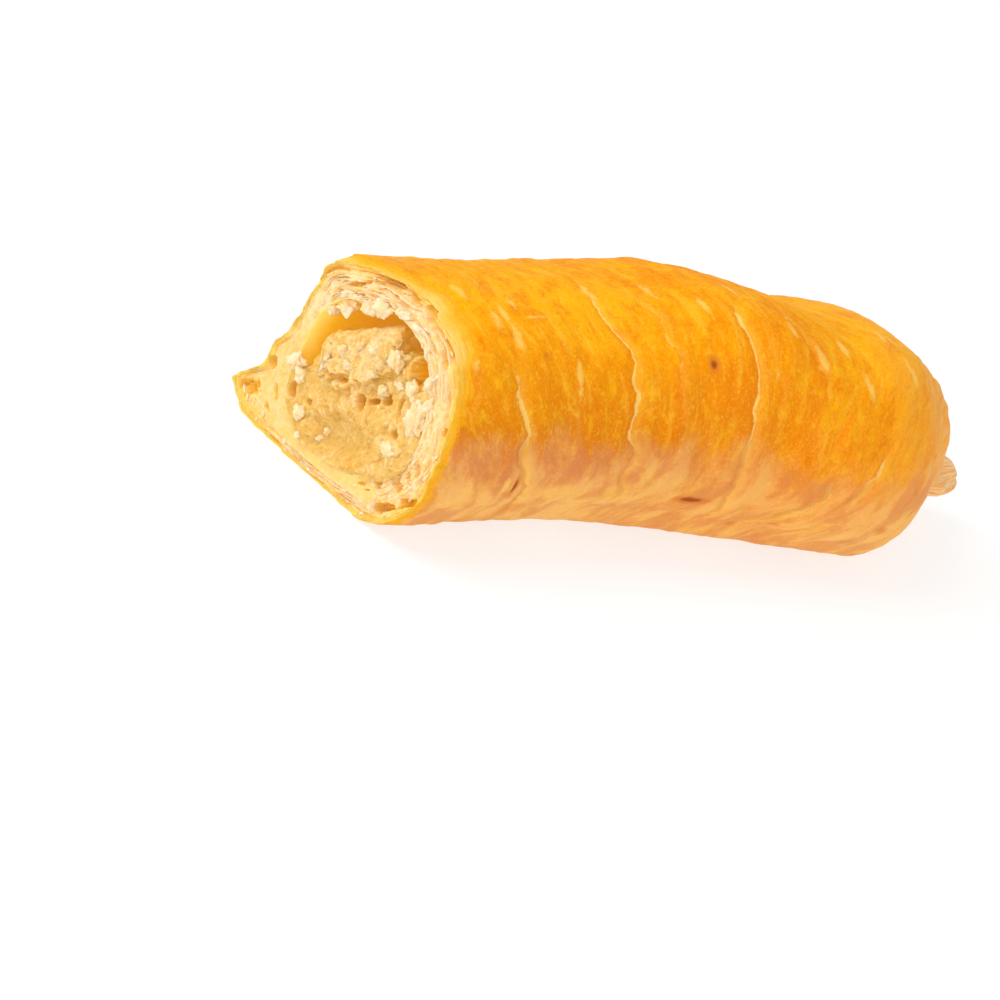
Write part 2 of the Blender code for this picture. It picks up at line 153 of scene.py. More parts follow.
# Holes torn in the sleeve's face: y, z, long and short radius, tilt, depth, warmth of the painted
# shade in them.
FACE_HOLES = (
    (25.9, 5.0, 2.5, 1.15, -22.0, 3.4, 0.75), (23.0, 11.2, 1.15, 1.0, 0.0, 2.6, 0.45),
    (19.3, 7.4, 1.4, 0.5, 62.0, 2.2, 0.45), (20.0, 4.0, 0.9, 0.6, 20.0, 1.6, 0.4),
    (-14.5, 7.0, 1.0, 0.8, 20.0, 2.6, 0.35), (-18.6, 9.0, 1.6, 1.25, 40.0, 2.0, 0.15),
    (-21.0, 11.2, 1.5, 0.9, 60.0, 1.7, 0.15), (-18.0, 3.9, 2.7, 0.95, -22.0, 4.4, 0.95),
    (-23.3, 6.6, 2.6, 1.0, -28.0, 4.4, 0.90), (-10.5, 5.3, 1.2, 0.25, -20.0, 1.4, 0.6),
    (-12.4, 5.0, 1.0, 0.25, -20.0, 1.4, 0.6), (-25.6, 23.2, 0.9, 0.7, 60.0, 2.4, 0.7),
    (-28.0, 18.4, 1.5, 0.35, 80.0, 1.8, 0.7), (-22.4, 14.0, 1.6, 0.5, 75.0, 1.6, 0.3),
    (9.0, 33.6, 2.6, 0.5, -30.0, 2.4, 0.5), (2.4, 37.2, 3.2, 0.65, -8.0, 2.8, 0.5),
    (-4.5, 37.6, 1.6, 0.5, 12.0, 2.2, 0.4), (-10.5, 36.8, 3.0, 0.7, 22.0, 2.6, 0.5),
    (-17.8, 32.8, 2.4, 0.5, 45.0, 2.4, 0.5))

# Hollows in the filling's face: y, z, long and short radius, tilt, depth.
HOLLOWS = (
    (15.1, 9.8, 1.5, 1.1, 60.0, 2.8), (-2.4, 16.7, 1.7, 1.2, 20.0, 3.2),
    (-5.4, 18.4, 1.5, 0.6, -30.0, 2.6), (-8.3, 20.3, 1.3, 1.0, 0.0, 3.0),
    (-12.2, 20.6, 1.8, 0.6, 70.0, 2.2), (3.6, 18.2, 1.9, 0.9, -20.0, 1.8),
    (-13.8, 16.5, 1.0, 0.8, 0.0, 1.6), (-13.2, 27.4, 3.0, 2.6, 50.0, 4.2),
    (10.3, 25.0, 1.6, 1.0, 30.0, 1.6), (9.5, 10.6, 1.4, 0.7, -30.0, 1.2))
BOWL = (-1.0, 9.2, 10.0, 5.2, -12.0, 1.6)             # the face's sunk part, in the same way
BLOCK = (1.0, 24.6, 10.5, 5.6, -38.0, 1.5)            # and its raised part

# Almond pieces in the filling's face: y, z, reach sideways and up, tilt, how far they stand out.
ALMONDS = (
    (-6.6, 27.0, 1.7, 2.4, -35.0, 1.1), (-12.4, 24.1, 2.0, 1.5, 35.0, 1.3),
    (-6.2, 21.2, 1.4, 1.2, 0.0, 0.8), (8.6, 18.8, 0.6, 2.0, 8.0, 0.9),
    (3.8, 20.8, 1.4, 0.9, 10.0, 0.8), (2.5, 24.8, 0.6, 1.4, 20.0, 0.8),
    (16.9, 14.6, 2.3, 2.2, 0.0, 1.3), (14.4, 13.4, 1.9, 1.4, 30.0, 1.1),
    (11.6, 7.4, 1.8, 1.4, -25.0, 1.0), (4.4, 7.8, 1.0, 0.9, 0.0, 0.7),
    (5.0, 5.8, 0.9, 0.8, 0.0, 0.6), (8.9, 4.6, 0.8, 0.7, 0.0, 0.6),
    (-14.1, 14.0, 2.2, 1.3, 12.0, 0.9), (-16.9, 20.6, 2.7, 3.6, -10.0, 1.0),
    (-9.6, 23.6, 1.3, 1.0, 0.0, 0.8), (-1.2, 26.6, 1.6, 1.2, 20.0, 0.9),
    (6.4, 22.4, 1.3, 1.0, 0.0, 0.9), (-3.0, 22.6, 1.5, 1.1, -20.0, 0.8))

# Lumps along the roof of the room: y, z, reach sideways and up, tilt, place along the stick.
ROOF_LUMPS = (
    (11.4, 28.0, 2.1, 1.9, -20.0, 3.4), (5.2, 31.2, 1.5, 1.9, 10.0, 3.0),
    (1.2, 33.2, 2.6, 1.7, -30.0, 2.6), (-4.0, 34.6, 2.4, 1.1, -8.0, 2.4),
    (11.6, 30.4, 2.8, 0.9, -30.0, 2.6), (7.6, 31.8, 1.4, 1.0, 20.0, 2.6),
    (-9.5, 34.2, 1.8, 0.9, 14.0, 2.6), (-13.8, 32.6, 1.6, 0.8, 40.0, 2.4),
    (-17.6, 28.6, 0.9, 1.8, 25.0, 2.0), (-19.2, 24.8, 0.8, 1.6, 12.0, 2.0),
    (14.6, 26.4, 1.0, 1.4, -30.0, 3.0))

# The crust: its columns stand closest together between two turns, its rows near the broken end.
DENSE_FROM, DENSE_TO = 0.03, 0.69
DENSE_COLUMNS, BASE_COLUMNS = 252, 40
FINE_ROWS_END = 22.0
CRUST_ROW_STEPS = (0.33, 0.43)            # before that place and after it
END_ROWS = 62                 # on the tucked end
TONGUE_ROWS = 12
SKIN_RADIUS = 24.7            # the way round the crust is that of a circle of this radius
CRUST_SHELL = ((0.012, -0.04), (0.03, 0.05), (0.05, 0.5), (0.09, 1.6), (0.18, 5.0),
               (0.30, 14.0), (0.34, 40.0))            # share and depth of its inner side
GLAZE_EDGE = (1.6, 4.2)       # how far behind the torn edge the glazed skin begins, low and top
FAR_GLAZE_EDGE = 3.2          # and how much further on the far side
TERRACES = ((1.0, 0.28), (0.66, 0.22), (0.30, 0.20))  # share of that way, and step down

# The crumb, its torn face first, then the room's wall, then its back.
AROUND_CRUMB = 940
CRUMB_ROWS = 90
CRUMB_START = 0.035
CRUMB_DEPTH = 45.0
ROOM_DEPTHS = (0.3, 0.7, 1.3, 2.2, 3.5, 5.5, 8.5, 13.0, 20.0, 30.0, CRUMB_DEPTH)
ROOM_SHARE = 1.2              # stands for the room's wall
CRUMB_BACK = ((0.6, CRUMB_DEPTH), (0.42, CRUMB_DEPTH), (0.42, 18.0), (0.32, 12.5))

# Sheets and flakes on the torn face.
SHEET_COUNT = 11
SHEET_THICKNESS = 0.17
AROUND_SHEET = 700
SHEET_DEPTHS = (0.0, 0.25, 0.7, 1.6, 4.0)
FLAKE_COUNT = 120

# The filling, from the middle of its face outwards and then along its side.
AROUND_FILLING = 460
FILLING_RINGS = 124
FILLING_DEPTHS = (0.35, 0.8, 1.5, 2.4, 3.6, 5.0, 7.5, 12.0, 18.0, 25.0)
GRAINS = ((2.9, 0.90, 0.30), (1.25, 0.50, 0.45), (0.60, 0.30, 0.45))  # size, height, tint
SLIT = 6.6                    # gap between the filling and the near wall, beside the wide one
SLIT_ANGLE = (116.0, 21.0)    # its middle and half width
SLIT_DEPTH = (6.0, 16.0)      # where along the stick it closes
FILLING_SIDES = ((60.0, 11.3, 50.0), (4.0, 15.6, 20.0))  # angle, distance from centre, reach

PAINTED_GLOW_COLOUR = (1.0, 0.68, 0.05, 1.0)      # painted glow, standing in for light that passes through the soft inside
# Strength of the painted glow on the soft inside, and of the stronger one on the room's wall.
PAINTED_GLOW, ROOM_PAINTED_GLOW = 0.05, 0.25

# Tones round the crust, by turn: the flange's, then the middle's near either end, then the base's.
FLANGE_TONES = ((0.0, (236, 186, 112)), (0.08, (244, 190, 104)), (0.17, (240, 162, 50)))
# In both middle tables, the ruddy and buff tones of the low near side, turns 0.54 to 0.64, are
# partly paler dough that the glaze missed and partly painted reflection of the bright floor in the
# glaze.
BROKEN_END_TONES = (
    (0.30, (249, 162, 8)), (0.37, (255, 178, 4)), (0.44, (252, 160, 2)), (0.50, (236, 138, 4)),
    (0.515, (228, 132, 12)), (0.540, (222, 134, 62)), (0.570, (227, 146, 82)),
    (0.60, (240, 174, 92)), (0.64, (247, 186, 98)))
TUCKED_END_TONES = (
    (0.30, (254, 170, 8)), (0.37, (255, 176, 4)), (0.44, (255, 164, 6)), (0.50, (254, 160, 24)),
    (0.54, (252, 164, 66)), (0.575, (252, 174, 92)), (0.61, (252, 190, 100)),
    (0.65, (252, 192, 108)))
BASE_TONES = ((0.72, (232, 172, 92)), (1.0, (228, 170, 92)))

# Tones of the bare band behind the torn edge, and of the room's wall from its mouth inwards, its
# yellow deepening to orange further in as painted shade.
TORN_TONES = (
    (0.0, (252, 208, 112)), (0.30, (251, 197, 80)), (0.55, (250, 186, 54)), (0.80, (250, 176, 32)),
    (1.0, (250, 166, 18)))
ROOM_TONES = (
    (0.0, (253, 230, 158)), (0.10, (253, 218, 100)), (0.24, (251, 202, 26)), (0.6, (246, 188, 6)),
    (1.0, (236, 168, 4)))

# ---------------------------------------------------------------- camera and picture
CAMERA_ANGLES = (-42.0, 20.0, 21.0)       # azimuth, elevation and roll
CAMERA_DISTANCE = 1.2         # metres
PICTURE_SIDE = 1000.0         # pixels
PICTURE_FOCUS = 6900.0        # focal length in pixels
MARK_PLACE = (0.0, 30.0, 4.0)             # a point near the flange's tip
MARK_PIXEL = (232.0, 380.0)               # where the picture shows it
SENSOR_WIDTH = 36.0           # millimetres

# Lights: direction in the picture (right, up, towards the camera), distance and size in metres,
# power in watts.
LIGHTS = (
    ("key", (-0.35, 0.9, 0.45), 1.3, 1.0, 9.0), ("fill", (-0.7, 0.1, 1.0), 1.6, 1.2, 3.5),
    ("front", (0.0, 0.0, 1.0), 1.5, 0.5, 3.2), ("end", (1.0, 0.1, 0.45), 1.5, 1.0, 1.5))
SURROUND_COLOUR = (1.0, 0.99, 0.98, 1.0)
SURROUND_STRENGTH = 0.62
FLOOR_HALF = 3.0              # metres
FLOOR_COLOUR = (0.30, 0.30, 0.30, 1.0)
FLOOR_GLOW = 0.73

# Numbers that scatter the lattice's cells.
LATTICE_STEPS = (374761393, 668265263, 2147483629)
LATTICE_SEED_STEP = 144664633
LATTICE_FACTOR = 1274126177
LATTICE_BITS = 0xFFFFFFFF


# ================================================================ numbers
def smooth_step(value, start, end):
    """Rise smoothly from 0 at start to 1 at end."""
    share = np.clip((value - start) / (end - start), 0.0, 1.0)
    return share * share * (3.0 - 2.0 * share)


def plateau(value, start, full, end, gone):
    """Rise from 0 at start to 1 at full, and fall from 1 at end to 0 at gone."""
    return smooth_step(value, start, full) * smooth_step(-value, -gone, -end)


def joined(*columns):
    """Columns of coordinates, numbers or arrays, as one array of points."""
    return np.stack(np.broadcast_arrays(*columns), axis=-1)


def lattice_value(cell, seed):
    """A fixed random number between -1 and 1 for each lattice cell."""
    key = cell @ np.array(LATTICE_STEPS) + seed * LATTICE_SEED_STEP
    key = (key ^ (key >> 13)) & LATTICE_BITS
    key = (key * LATTICE_FACTOR) & LATTICE_BITS
    key = (key ^ (key >> 16)) & LATTICE_BITS
    return key / (LATTICE_BITS // 2) - 1.0


def noise(points, seed):
    """Smooth lattice noise between -1 and 1 at points of three coordinates."""
    points = np.asarray(points, dtype=float)
    cell = np.floor(points).astype(np.int64)
    blend = smooth_step(points - cell, 0.0, 1.0)
    total = np.zeros(points.shape[:-1])
    for corner in itertools.product((0, 1), repeat=3):
        weight = np.prod(np.where(corner, blend, 1.0 - blend), axis=-1)
        total += weight * lattice_value(cell + corner, seed)
    return total


def fractal(points, seed, octaves=3, gain=0.5):
    """Noise in finer and finer steps."""
    return sum(gain ** octave * noise(points * 2.03 ** octave, seed + 100 * octave)
               for octave in range(octaves))


def noises(points, *layers, shift=0.0):
    """Noise in layers of a grain size, a height and a seed."""
    return sum(height * noise(points / size + shift, seed) for size, height, seed in layers)


def grains(points, seed):
    """Rounded grains: height from 0 in the creases to 1, and a number of its own for each."""
    cell = np.floor(points).astype(np.int64)
    nearest = np.full(points.shape[:-1], 9.0)
    own = np.zeros(points.shape[:-1])
    for offset in itertools.product((-1, 0, 1), repeat=3):
        other = cell + offset
        jitter = joined(*(lattice_value(other, seed + axis) for axis in range(3)))
        distance = np.linalg.norm(other + 0.5 + 0.45 * jitter - points, axis=-1)
        own = np.where(distance < nearest, lattice_value(other, seed + 3), own)
        nearest = np.minimum(nearest, distance)
    return np.sqrt(np.clip(1.0 - (nearest / 0.85) ** 2, 0.0, 1.0)), own


def curve_through(place, places, values):
    """A smooth curve through the given values, flat beyond the last one."""
    place = np.clip(place, places[0], places[-1])
    slopes = np.gradient(values, places)
    index = np.clip(np.searchsorted(places, place) - 1, 0, len(places) - 2)
    span = places[index + 1] - places[index]
    share = (place - places[index]) / span
    rise = smooth_step(share, 0.0, 1.0)
    level = values[index] * (1.0 - rise) + values[index + 1] * rise
    start_slope = slopes[index] * span * share * (1.0 - share) ** 2
    end_slope = slopes[index + 1] * span * share ** 2 * (1.0 - share)
    return level + start_slope - end_slope


def closed_spline(points, steps_between=40):
    """A closed smooth curve through the points."""
    points = np.array(points)
    count = len(points)
    place = np.arange(count * steps_between) / steps_between
    index = place.astype(int)
    share = (place - index)[:, None]
    before, start = points[(index - 1) % count], points[index % count]
    end, after = points[(index + 1) % count], points[(index + 2) % count]
    return 0.5 * (2 * start + (end - before) * share
                  + (2 * before - 5 * start + 4 * end - after) * share ** 2
                  + (3 * start - before - 3 * end + after) * share ** 3)


def rotated(first, second, tilt):
    """Two coordinates turned by a tilt in degrees."""
    cosine, sine = math.cos(math.radians(tilt)), math.sin(math.radians(tilt))
    return first * cosine - second * sine, first * sine + second * cosine


def oval(points, shape):
    """Distance from an oval's middle, 1 on its edge; shape is its middle, radii, tilt and more."""
    side, level, long_radius, short_radius, tilt = shape[:5]
    lengthwise, crosswise = rotated(points[..., 0] - side, points[..., 1] - level, -tilt)
    return np.hypot(lengthwise / long_radius, crosswise / short_radius)


# ================================================================ form of the stick
def outline_at(turn):
    """The sleeve's outline (y, z) at each turn."""
    curve = closed_spline(SLEEVE_OUTLINE)
    ring = np.vstack([curve, curve[:1]])
    travelled = np.concatenate([[0.0], np.cumsum(np.linalg.norm(np.diff(ring, axis=0), axis=1))])
    return joined(*(np.interp(turn * travelled[-1], travelled, ring[:, axis]) for axis in (0, 1)))


def room_radius(angle):
    """Distance from the room's centre to its wall, for angles in radians."""
    curve = closed_spline(ROOM_OUTLINE) - ROOM_CENTRE
    curve_angle = np.arctan2(curve[:, 1], curve[:, 0])
    order = np.argsort(curve_angle)
    radius = np.linalg.norm(curve, axis=1)
    return np.interp(angle, curve_angle[order], radius[order], period=math.tau)


def angle_round_room(points):
    """Angle of (y, z) points round the room's centre."""
    offset = points - np.array(ROOM_CENTRE)
    return np.arctan2(offset[..., 1], offset[..., 0])


def wall_at(angle):
    """The room's wall (y, z) at each angle."""
    return np.array(ROOM_CENTRE) + room_radius(angle)[:, None] * joined(
        np.cos(angle), np.sin(angle))


def placed(along, outline, rounding=True):
    """Carry a (y, z) outline to its place along the stick; along has the outline's shape."""
    shift, width, height, lift = (
        curve_through(along, STATIONS[:, 0], STATIONS[:, column]) for column in (1, 2, 3, 4))
    edge_offset = (outline - np.array(NEAR_EDGE)) / NEAR_EDGE_REACH
    near_edge = np.exp(-np.sum(edge_offset ** 2, axis=-1))
    flange = np.maximum(outline[..., 0] - FLANGE_ROOT, 0.0)
    kept_side = outline[..., 0] - FLANGE_SHRINK * flange * smooth_step(along, *FLANGE_FADE)
    side = kept_side * width
    level = np.maximum(outline[..., 1] * height + lift * near_edge, 0.0)
    if rounding:
        share = np.clip((along - END_START) / (BULB_LENGTH - END_START), 0.0, 1.0)
        for_width, for_height = (
            keep + (1.0 - keep) * (1.0 - share ** power) ** (1.0 / power)
            for keep, power in zip(TONGUE_SHARE, END_POWER))
        side = TONGUE_SIDE + (side - TONGUE_SIDE) * for_width
        level = level * for_height + TONGUE_LIFT * share ** 3
    return joined(along, side + shift, level)


def grid_normals(grid):
    """Outward unit normals of a grid of rings."""
    around = np.roll(grid, -1, axis=1) - np.roll(grid, 1, axis=1)
    lengthwise = np.gradient(grid, axis=0)
    normal = np.cross(around, lengthwise)
    outward = grid - grid.mean(axis=1, keepdims=True)
    normal *= np.sign(np.sum(normal * outward))
    return normal / np.maximum(np.linalg.norm(normal, axis=-1, keepdims=True), 1e-9)


def crack_line(turn, middle, lean, start, end):
    """Where a crack runs along the stick, at each turn."""
    wander = 1.3 * noise(joined(turn * 40.0, middle, 0.0), 5)
    return middle + lean * (turn - HALF_WAY) / (end - start) + wander


def crack_stretch(turn, start, end):
    """1 inside a crack's stretch, 0 outside."""
    return plateau(turn, start, start + 0.05, end - 0.05, end)


def crack_grooves(along, turn):
    """Depth of the cracks' wide grooves."""
    depth = np.zeros(along.shape)
    for middle, lean, start, end, deepest in CRACKS:
        line = crack_line(turn, middle, lean, start, end)
        groove = np.exp(-((along - line) / CRACK_WIDTH) ** 2)
        depth += deepest * crack_stretch(turn, start, end) * groove
    return depth


def end_folds(along, turn):
    """Uneven folds that run together at the tucked end."""
    direction = joined(np.cos(math.tau * turn), np.sin(math.tau * turn), along / 60.0)
    folds = 1.1 * noise(direction * (3.4, 3.4, 1.0), 14) + 0.5 * noise(direction * 6.5, 15)
    return folds * plateau(along, 108.0, 132.0, 136.0, 141.0)


def crust_relief(grid, along, turn):
    """Height of the crust over its smooth form, as in the solids but for narrower grooves."""
    height = noises(grid, (34.0, 0.8, 11), (13.0, 0.4, 12))
    height += 0.25 * noise(joined(along / 5.5, turn * 9.0, 0.0), 13)
    height += end_folds(along, turn) - 0.35 * crack_grooves(along, turn)
    return height * smooth_step(grid[..., 2], 0.0, 4.0)


def top_weight(outline):
    """1 where the crust is torn back most, falling off round the broken end."""
    middle, half_width = TEAR_BACK_ANGLE
    angle = np.degrees(angle_round_room(outline))
    return np.exp(-((angle - middle) / half_width) ** 2)


def front_edge(outline):
    """How far the crust is torn back at the points of the sleeve's outline."""
    ragged = 0.55 * noise(joined(*outline.T, 0.0) / 4.5, 21)
    return TEAR_BACK_LOW + (TEAR_BACK_TOP - TEAR_BACK_LOW) * top_weight(outline) + ragged


def skin_place(along, turn):
    """Coordinates on the crust with no seam: along it and round it, in millimetres."""
    return joined(along, SKIN_RADIUS * np.cos(math.tau * turn),
                  SKIN_RADIUS * np.sin(math.tau * turn))


# ================================================================ meshes
STICK_SHIFT = np.array((cad_low.x, cad_low.y, cad_low.z)) / MILLIMETRE - (0.0, LOWEST_SIDE, 0.0)


def stick_to_world(points):
    """From the stick's frame in millimetres to the world in metres."""
    return (points + STICK_SHIFT) * MILLIMETRE


def new_mesh(name, points, faces):
    """A mesh from points in the stick's frame and arrays of faces with equal corner counts."""
    mesh = bpy.data.meshes.new(name)
    corners = [face for block in faces for face in block.tolist()]
    mesh.from_pydata(stick_to_world(points).tolist(), [], corners, shade_flat=False)
    mesh.calc_loop_triangles()
    corners = np.empty(len(mesh.loop_triangles) * 3, dtype=np.int32)
    mesh.loop_triangles.foreach_get("vertices", corners)
    triangles = points[corners.reshape(-1, 3)]
    volume = np.einsum("ij,ij->", triangles[:, 0], np.cross(triangles[:, 1], triangles[:, 2]))
    if volume < 0.0:
        mesh.flip_normals()
    return mesh


def ring_faces(rows, columns, closed=False):
    """Quads between rings of points; closed joins the last ring to the first."""
    row = np.arange(rows if closed else rows - 1)[:, None]
    column = np.arange(columns)[None, :]
    following_row = (row + 1) % rows
    following = (column + 1) % columns
    quads = joined(row * columns + column, following_row * columns + column,
                   following_row * columns + following, row * columns + following)
    return quads.reshape(-1, 4)


def capped_rings(name, rings, first_tip, last_tip):
    """A closed mesh from rings with a tip at each end."""
    rows, columns = rings.shape[:2]
    points = np.vstack([rings.reshape(-1, 3), [first_tip, last_tip]])
    column = np.arange(columns)
    following = (column + 1) % columns
    last_row = (rows - 1) * columns
    first_fan = joined(rows * columns, column, following)
    last_fan = joined(rows * columns + 1, last_row + following, last_row + column)
    return new_mesh(name, points, [ring_faces(rows, columns), first_fan, last_fan])


def add_values(mesh, **columns):
    """Store arrays of numbers or of coordinates at a mesh's points."""
    for name, values in columns.items():
        values = np.asarray(values, dtype=np.float32)
        if values.ndim == 2:
            mesh.attributes.new(name, "FLOAT_VECTOR", "POINT").data.foreach_set(
                "vector", values.ravel())
        else:
            mesh.attributes.new(name, "FLOAT", "POINT").data.foreach_set("value", values)


def gathered(rows):
    """Rings and their points' numbers, from rows of a ring and of numbers or arrays of them."""
    columns = len(rows[0][0])
    rings, *values = zip(*rows)
    return np.array(rings), *(
        np.concatenate([np.broadcast_to(value, columns) for value in value_rows])
        for value_rows in values)


def add_piece(name, mesh, finish, slot, *nodes):
    """Link a piece, let it ride on the one body and stand for its solid."""
    mesh.materials.append(finish)
    piece = bpy.data.objects.new(name, mesh)
    bpy.context.scene.collection.objects.link(piece)
    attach(piece, "root")
    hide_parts(*nodes)


# ================================================================ material helpers
def tone(red, green, blue):
    """A linear colour from the usual 0 to 255 numbers."""
    parts = (part / 255.0 for part in (red, green, blue))
    return (*(part / 12.92 if part <= 0.04045 else ((part + 0.055) / 1.055) ** 2.4
              for part in parts), 1.0)


class Nodes:
    """Short ways to add and link a material's nodes."""

    def __init__(self, name):
        self.material = bpy.data.materials.new(name)
        self.material.use_nodes = True
        self.tree = self.material.node_tree

    def put(self, node, sockets):
        """Link outputs to a node's sockets, or set the sockets' own values."""
        for key, value in sockets.items():
            if isinstance(value, bpy.types.NodeSocket):
                self.tree.links.new(value, node.inputs[key])
            else:
                node.inputs[key].default_value = value

    def add(self, kind, output, sockets, **settings):
        """Add a node and give one of its outputs."""
        node = self.tree.nodes.new("ShaderNode" + kind)
        for name, value in settings.items():
            setattr(node, name, value)
        self.put(node, sockets)
        return node.outputs[output]

    def value(self, name, output="Fac"):
        """A number, or with "Vector" the coordinates, stored at the mesh's points."""
        return self.add("Attribute", output, {}, attribute_name=name)

    def noise(self, name, lengthwise, across, detail, roughness=0.6, distortion=0.0):
        """Noise with grains of the given sizes on stored coordinates."""
        place = {"Vector": self.value(name, "Vector"), "Scale": (lengthwise, across, across)}
        return self.add("TexNoise", "Fac", {
            "Vector": self.add("Mapping", "Vector", place, vector_type="TEXTURE"), "Scale": 1.0,
            "Detail": detail, "Roughness": roughness, "Distortion": distortion})

    def between(self, value, start, end, low=0.0, high=1.0):
        """Carry a value from start..end to low..high, smoothly and clamped."""
        return self.add("MapRange", "Result", {
            "Value": value, "From Min": start, "From Max": end, "To Min": low, "To Max": high},
            interpolation_type="SMOOTHSTEP")

    def math(self, operation, *values):
        """One step of arithmetic."""
        return self.add("Math", 0, dict(enumerate(values)), operation=operation)

    def times(self, first, second):
        """first * second."""
        return self.math("MULTIPLY", first, second)

    def plus(self, first, second, factor=1.0):
        """first + second * factor."""
        return self.math("MULTIPLY_ADD", second, factor, first)

    def centred(self, value):
        """A noise's value about 0."""
        return self.math("SUBTRACT", value, 0.5)

    def mix(self, share, first, second):
        """Mix two colours, each an output or 0 to 255 numbers."""
        first, second = (tone(*colour) if isinstance(colour, tuple) else colour
                         for colour in (first, second))
        return self.add("Mix", 2, {0: share, 6: first, 7: second}, data_type="RGBA")

    def tinted(self, colour, *tints, within=None):
        """Mix tints over a colour; each comes in by its share as a value goes from start to end."""
        for value, start, end, share, tint in tints:
            amount = self.between(value, start, end, 0.0, share)
            if within is not None:
                amount = self.times(amount, within)
            colour = self.mix(amount, colour, tint)
        return colour

    def ramp(self, value, *stops):
        """A colour ramp from (place, colour) stops."""
        colour = self.add("ValToRGB", "Color", {"Fac": value})
        elements = colour.node.color_ramp.elements
        while len(elements) < len(stops):
            elements.new(0.5)
        for element, (place, stop) in zip(elements, stops):
            element.position = place
            element.color = tone(*stop)
        return colour

    def relief(self, *layers):
        """Surface relief; each layer has its height, strength and distance in millimetres."""
        below = {}
        for height, strength, distance in layers:
            normal = self.add("Bump", "Normal", {
                "Height": height, "Strength": strength, "Distance": distance * MILLIMETRE, **below})
            below = {"Normal": normal}
        return normal

    def finish(self, sockets):
        """Set the shader's sockets."""
        self.put(self.tree.nodes["Principled BSDF"], sockets)
        return self.material

    def painted_glow(self, strength):
        """Painted glow: faint golden light given off from within, which lights nothing else."""
        self.material.cycles.emission_sampling = "NONE"
        self.finish({"Emission Color": PAINTED_GLOW_COLOUR, "Emission Strength": strength})

    def soft_finish(self, colour, relief, roughness, specular, weight, radius, reach):
        """A finish that light sinks into; reach in millimetres."""
        return self.finish({
            "Base Color": colour, "Normal": relief, "Roughness": roughness,
            "Specular IOR Level": specular, "Subsurface Weight": weight,
            "Subsurface Radius": radius, "Subsurface Scale": reach * MILLIMETRE})


# ================================================================ crust
def crack_values(along, turn):
    """Signed distance to the nearest crack, its strength, and the relief beside the cracks."""
    side = np.full(along.shape, 9.0)
    strength = np.zeros(along.shape)
    height = np.zeros(along.shape)
    for middle, lean, start, end, deepest in CRACKS + HAIRLINES:
        line = crack_line(turn, middle, lean, start, end)
        line = line + 0.40 * noise(joined(turn * 150.0, middle, 0.0), 6)
        offset = along - line
        power = deepest * crack_stretch(turn, start, end)
        step = np.where(offset > 0.0, np.exp(-offset / 4.0), -0.5 * np.exp(offset / 2.0))
        step *= smooth_step(np.abs(offset), 0.0, 0.35)
        height += power * (0.20 * step - 0.12 * np.exp(-(offset / 0.40) ** 2))
        closer = np.abs(offset) < np.abs(side)
        side = np.where(closer, offset, side)
        strength = np.where(closer, power, strength)
    return side, strength, height


def spots(along, turn, table):
    """Soft ovals on the crust, each up to its strength."""
    total = np.zeros(along.shape)
    for middle, middle_turn, reach_along, reach_round, strength in table:
        round_way = (turn - middle_turn) * math.tau * SKIN_RADIUS
        away = ((along - middle) / reach_along) ** 2 + (round_way / reach_round) ** 2
        total = np.maximum(total, strength * np.exp(-away))
    return total


def fine_crust_relief(flow, skin):
    """Faint wrinkles round the stick and the fine unevenness of baked dough."""
    wrinkles = 0.12 * noise(flow * (1.0, 0.2, 0.2) / 2.1, 51)
    return wrinkles + noises(skin, (3.1, 0.16, 53), (1.35, 0.10, 54), (0.7, 0.035, 55))


def flow_place(along, turn):
    """Skin coordinates that follow the slant of the crust's wrinkles."""
    near = plateau(turn, 0.30, 0.42, 0.66, 0.76)
    slant = (20.0 - 0.40 * along) * (turn - HALF_WAY) / 0.22
    sweep = -9.0 * smooth_step(turn, 0.54, 0.72)
    return skin_place(along - near * (slant + sweep), turn)


def glaze_start(outline, skin):
    """How far behind the torn edge the glazed skin begins, with a ragged edge."""
    low, top = GLAZE_EDGE
    low = low + FAR_GLAZE_EDGE * smooth_step(outline[:, 0], 6.0, 18.0)
    ragged = noises(skin, (5.0, 0.9, 23), (1.7, 0.6, 24), (0.8, 0.3, 25))
    return np.maximum(low + (top - low) * top_weight(outline) + ragged, 0.5)


def rim_terraces(behind, start):
    """Steps by which the flaked skin goes down towards the torn edge."""
    return sum(step * smooth_step(start * share - behind, -0.14, 0.14)
               for share, step in TERRACES)


def tongue_rings(last_ring, middle):
    """Rings of the uneven tongue of dough, from the closed end outwards."""
    rings = []
    for share in np.linspace(0.08, 0.96, TONGUE_ROWS):
        step = (TONGUE_LENGTH * share, 0.0, 0.0)
        ring = (last_ring - middle) * (1.0 - share ** 2.5) ** 0.5
        uneven = noise((ring + step) / (4.0, 2.6, 2.6), 18)
        ring = ring * (1.0 + 0.22 * smooth_step(share, 0.0, 0.4) * uneven[:, None])
        rings.append(middle + ring + step)
    return rings


def inner_rings(rim, outline, wall):
    """Rings of the crust's inner side, from its torn rim inwards."""
    rings = []
    wall_ring = placed(rim[:, 0], wall, rounding=False)
    for share, depth in CRUST_SHELL:
        ring = rim + (wall_ring - rim) * share
        if depth > 6.0:
            ring = placed(rim[:, 0] + depth, through_sleeve(outline, wall, share))
        ring[:, 0] = rim[:, 0] + depth
        rings.append(ring)
    return rings


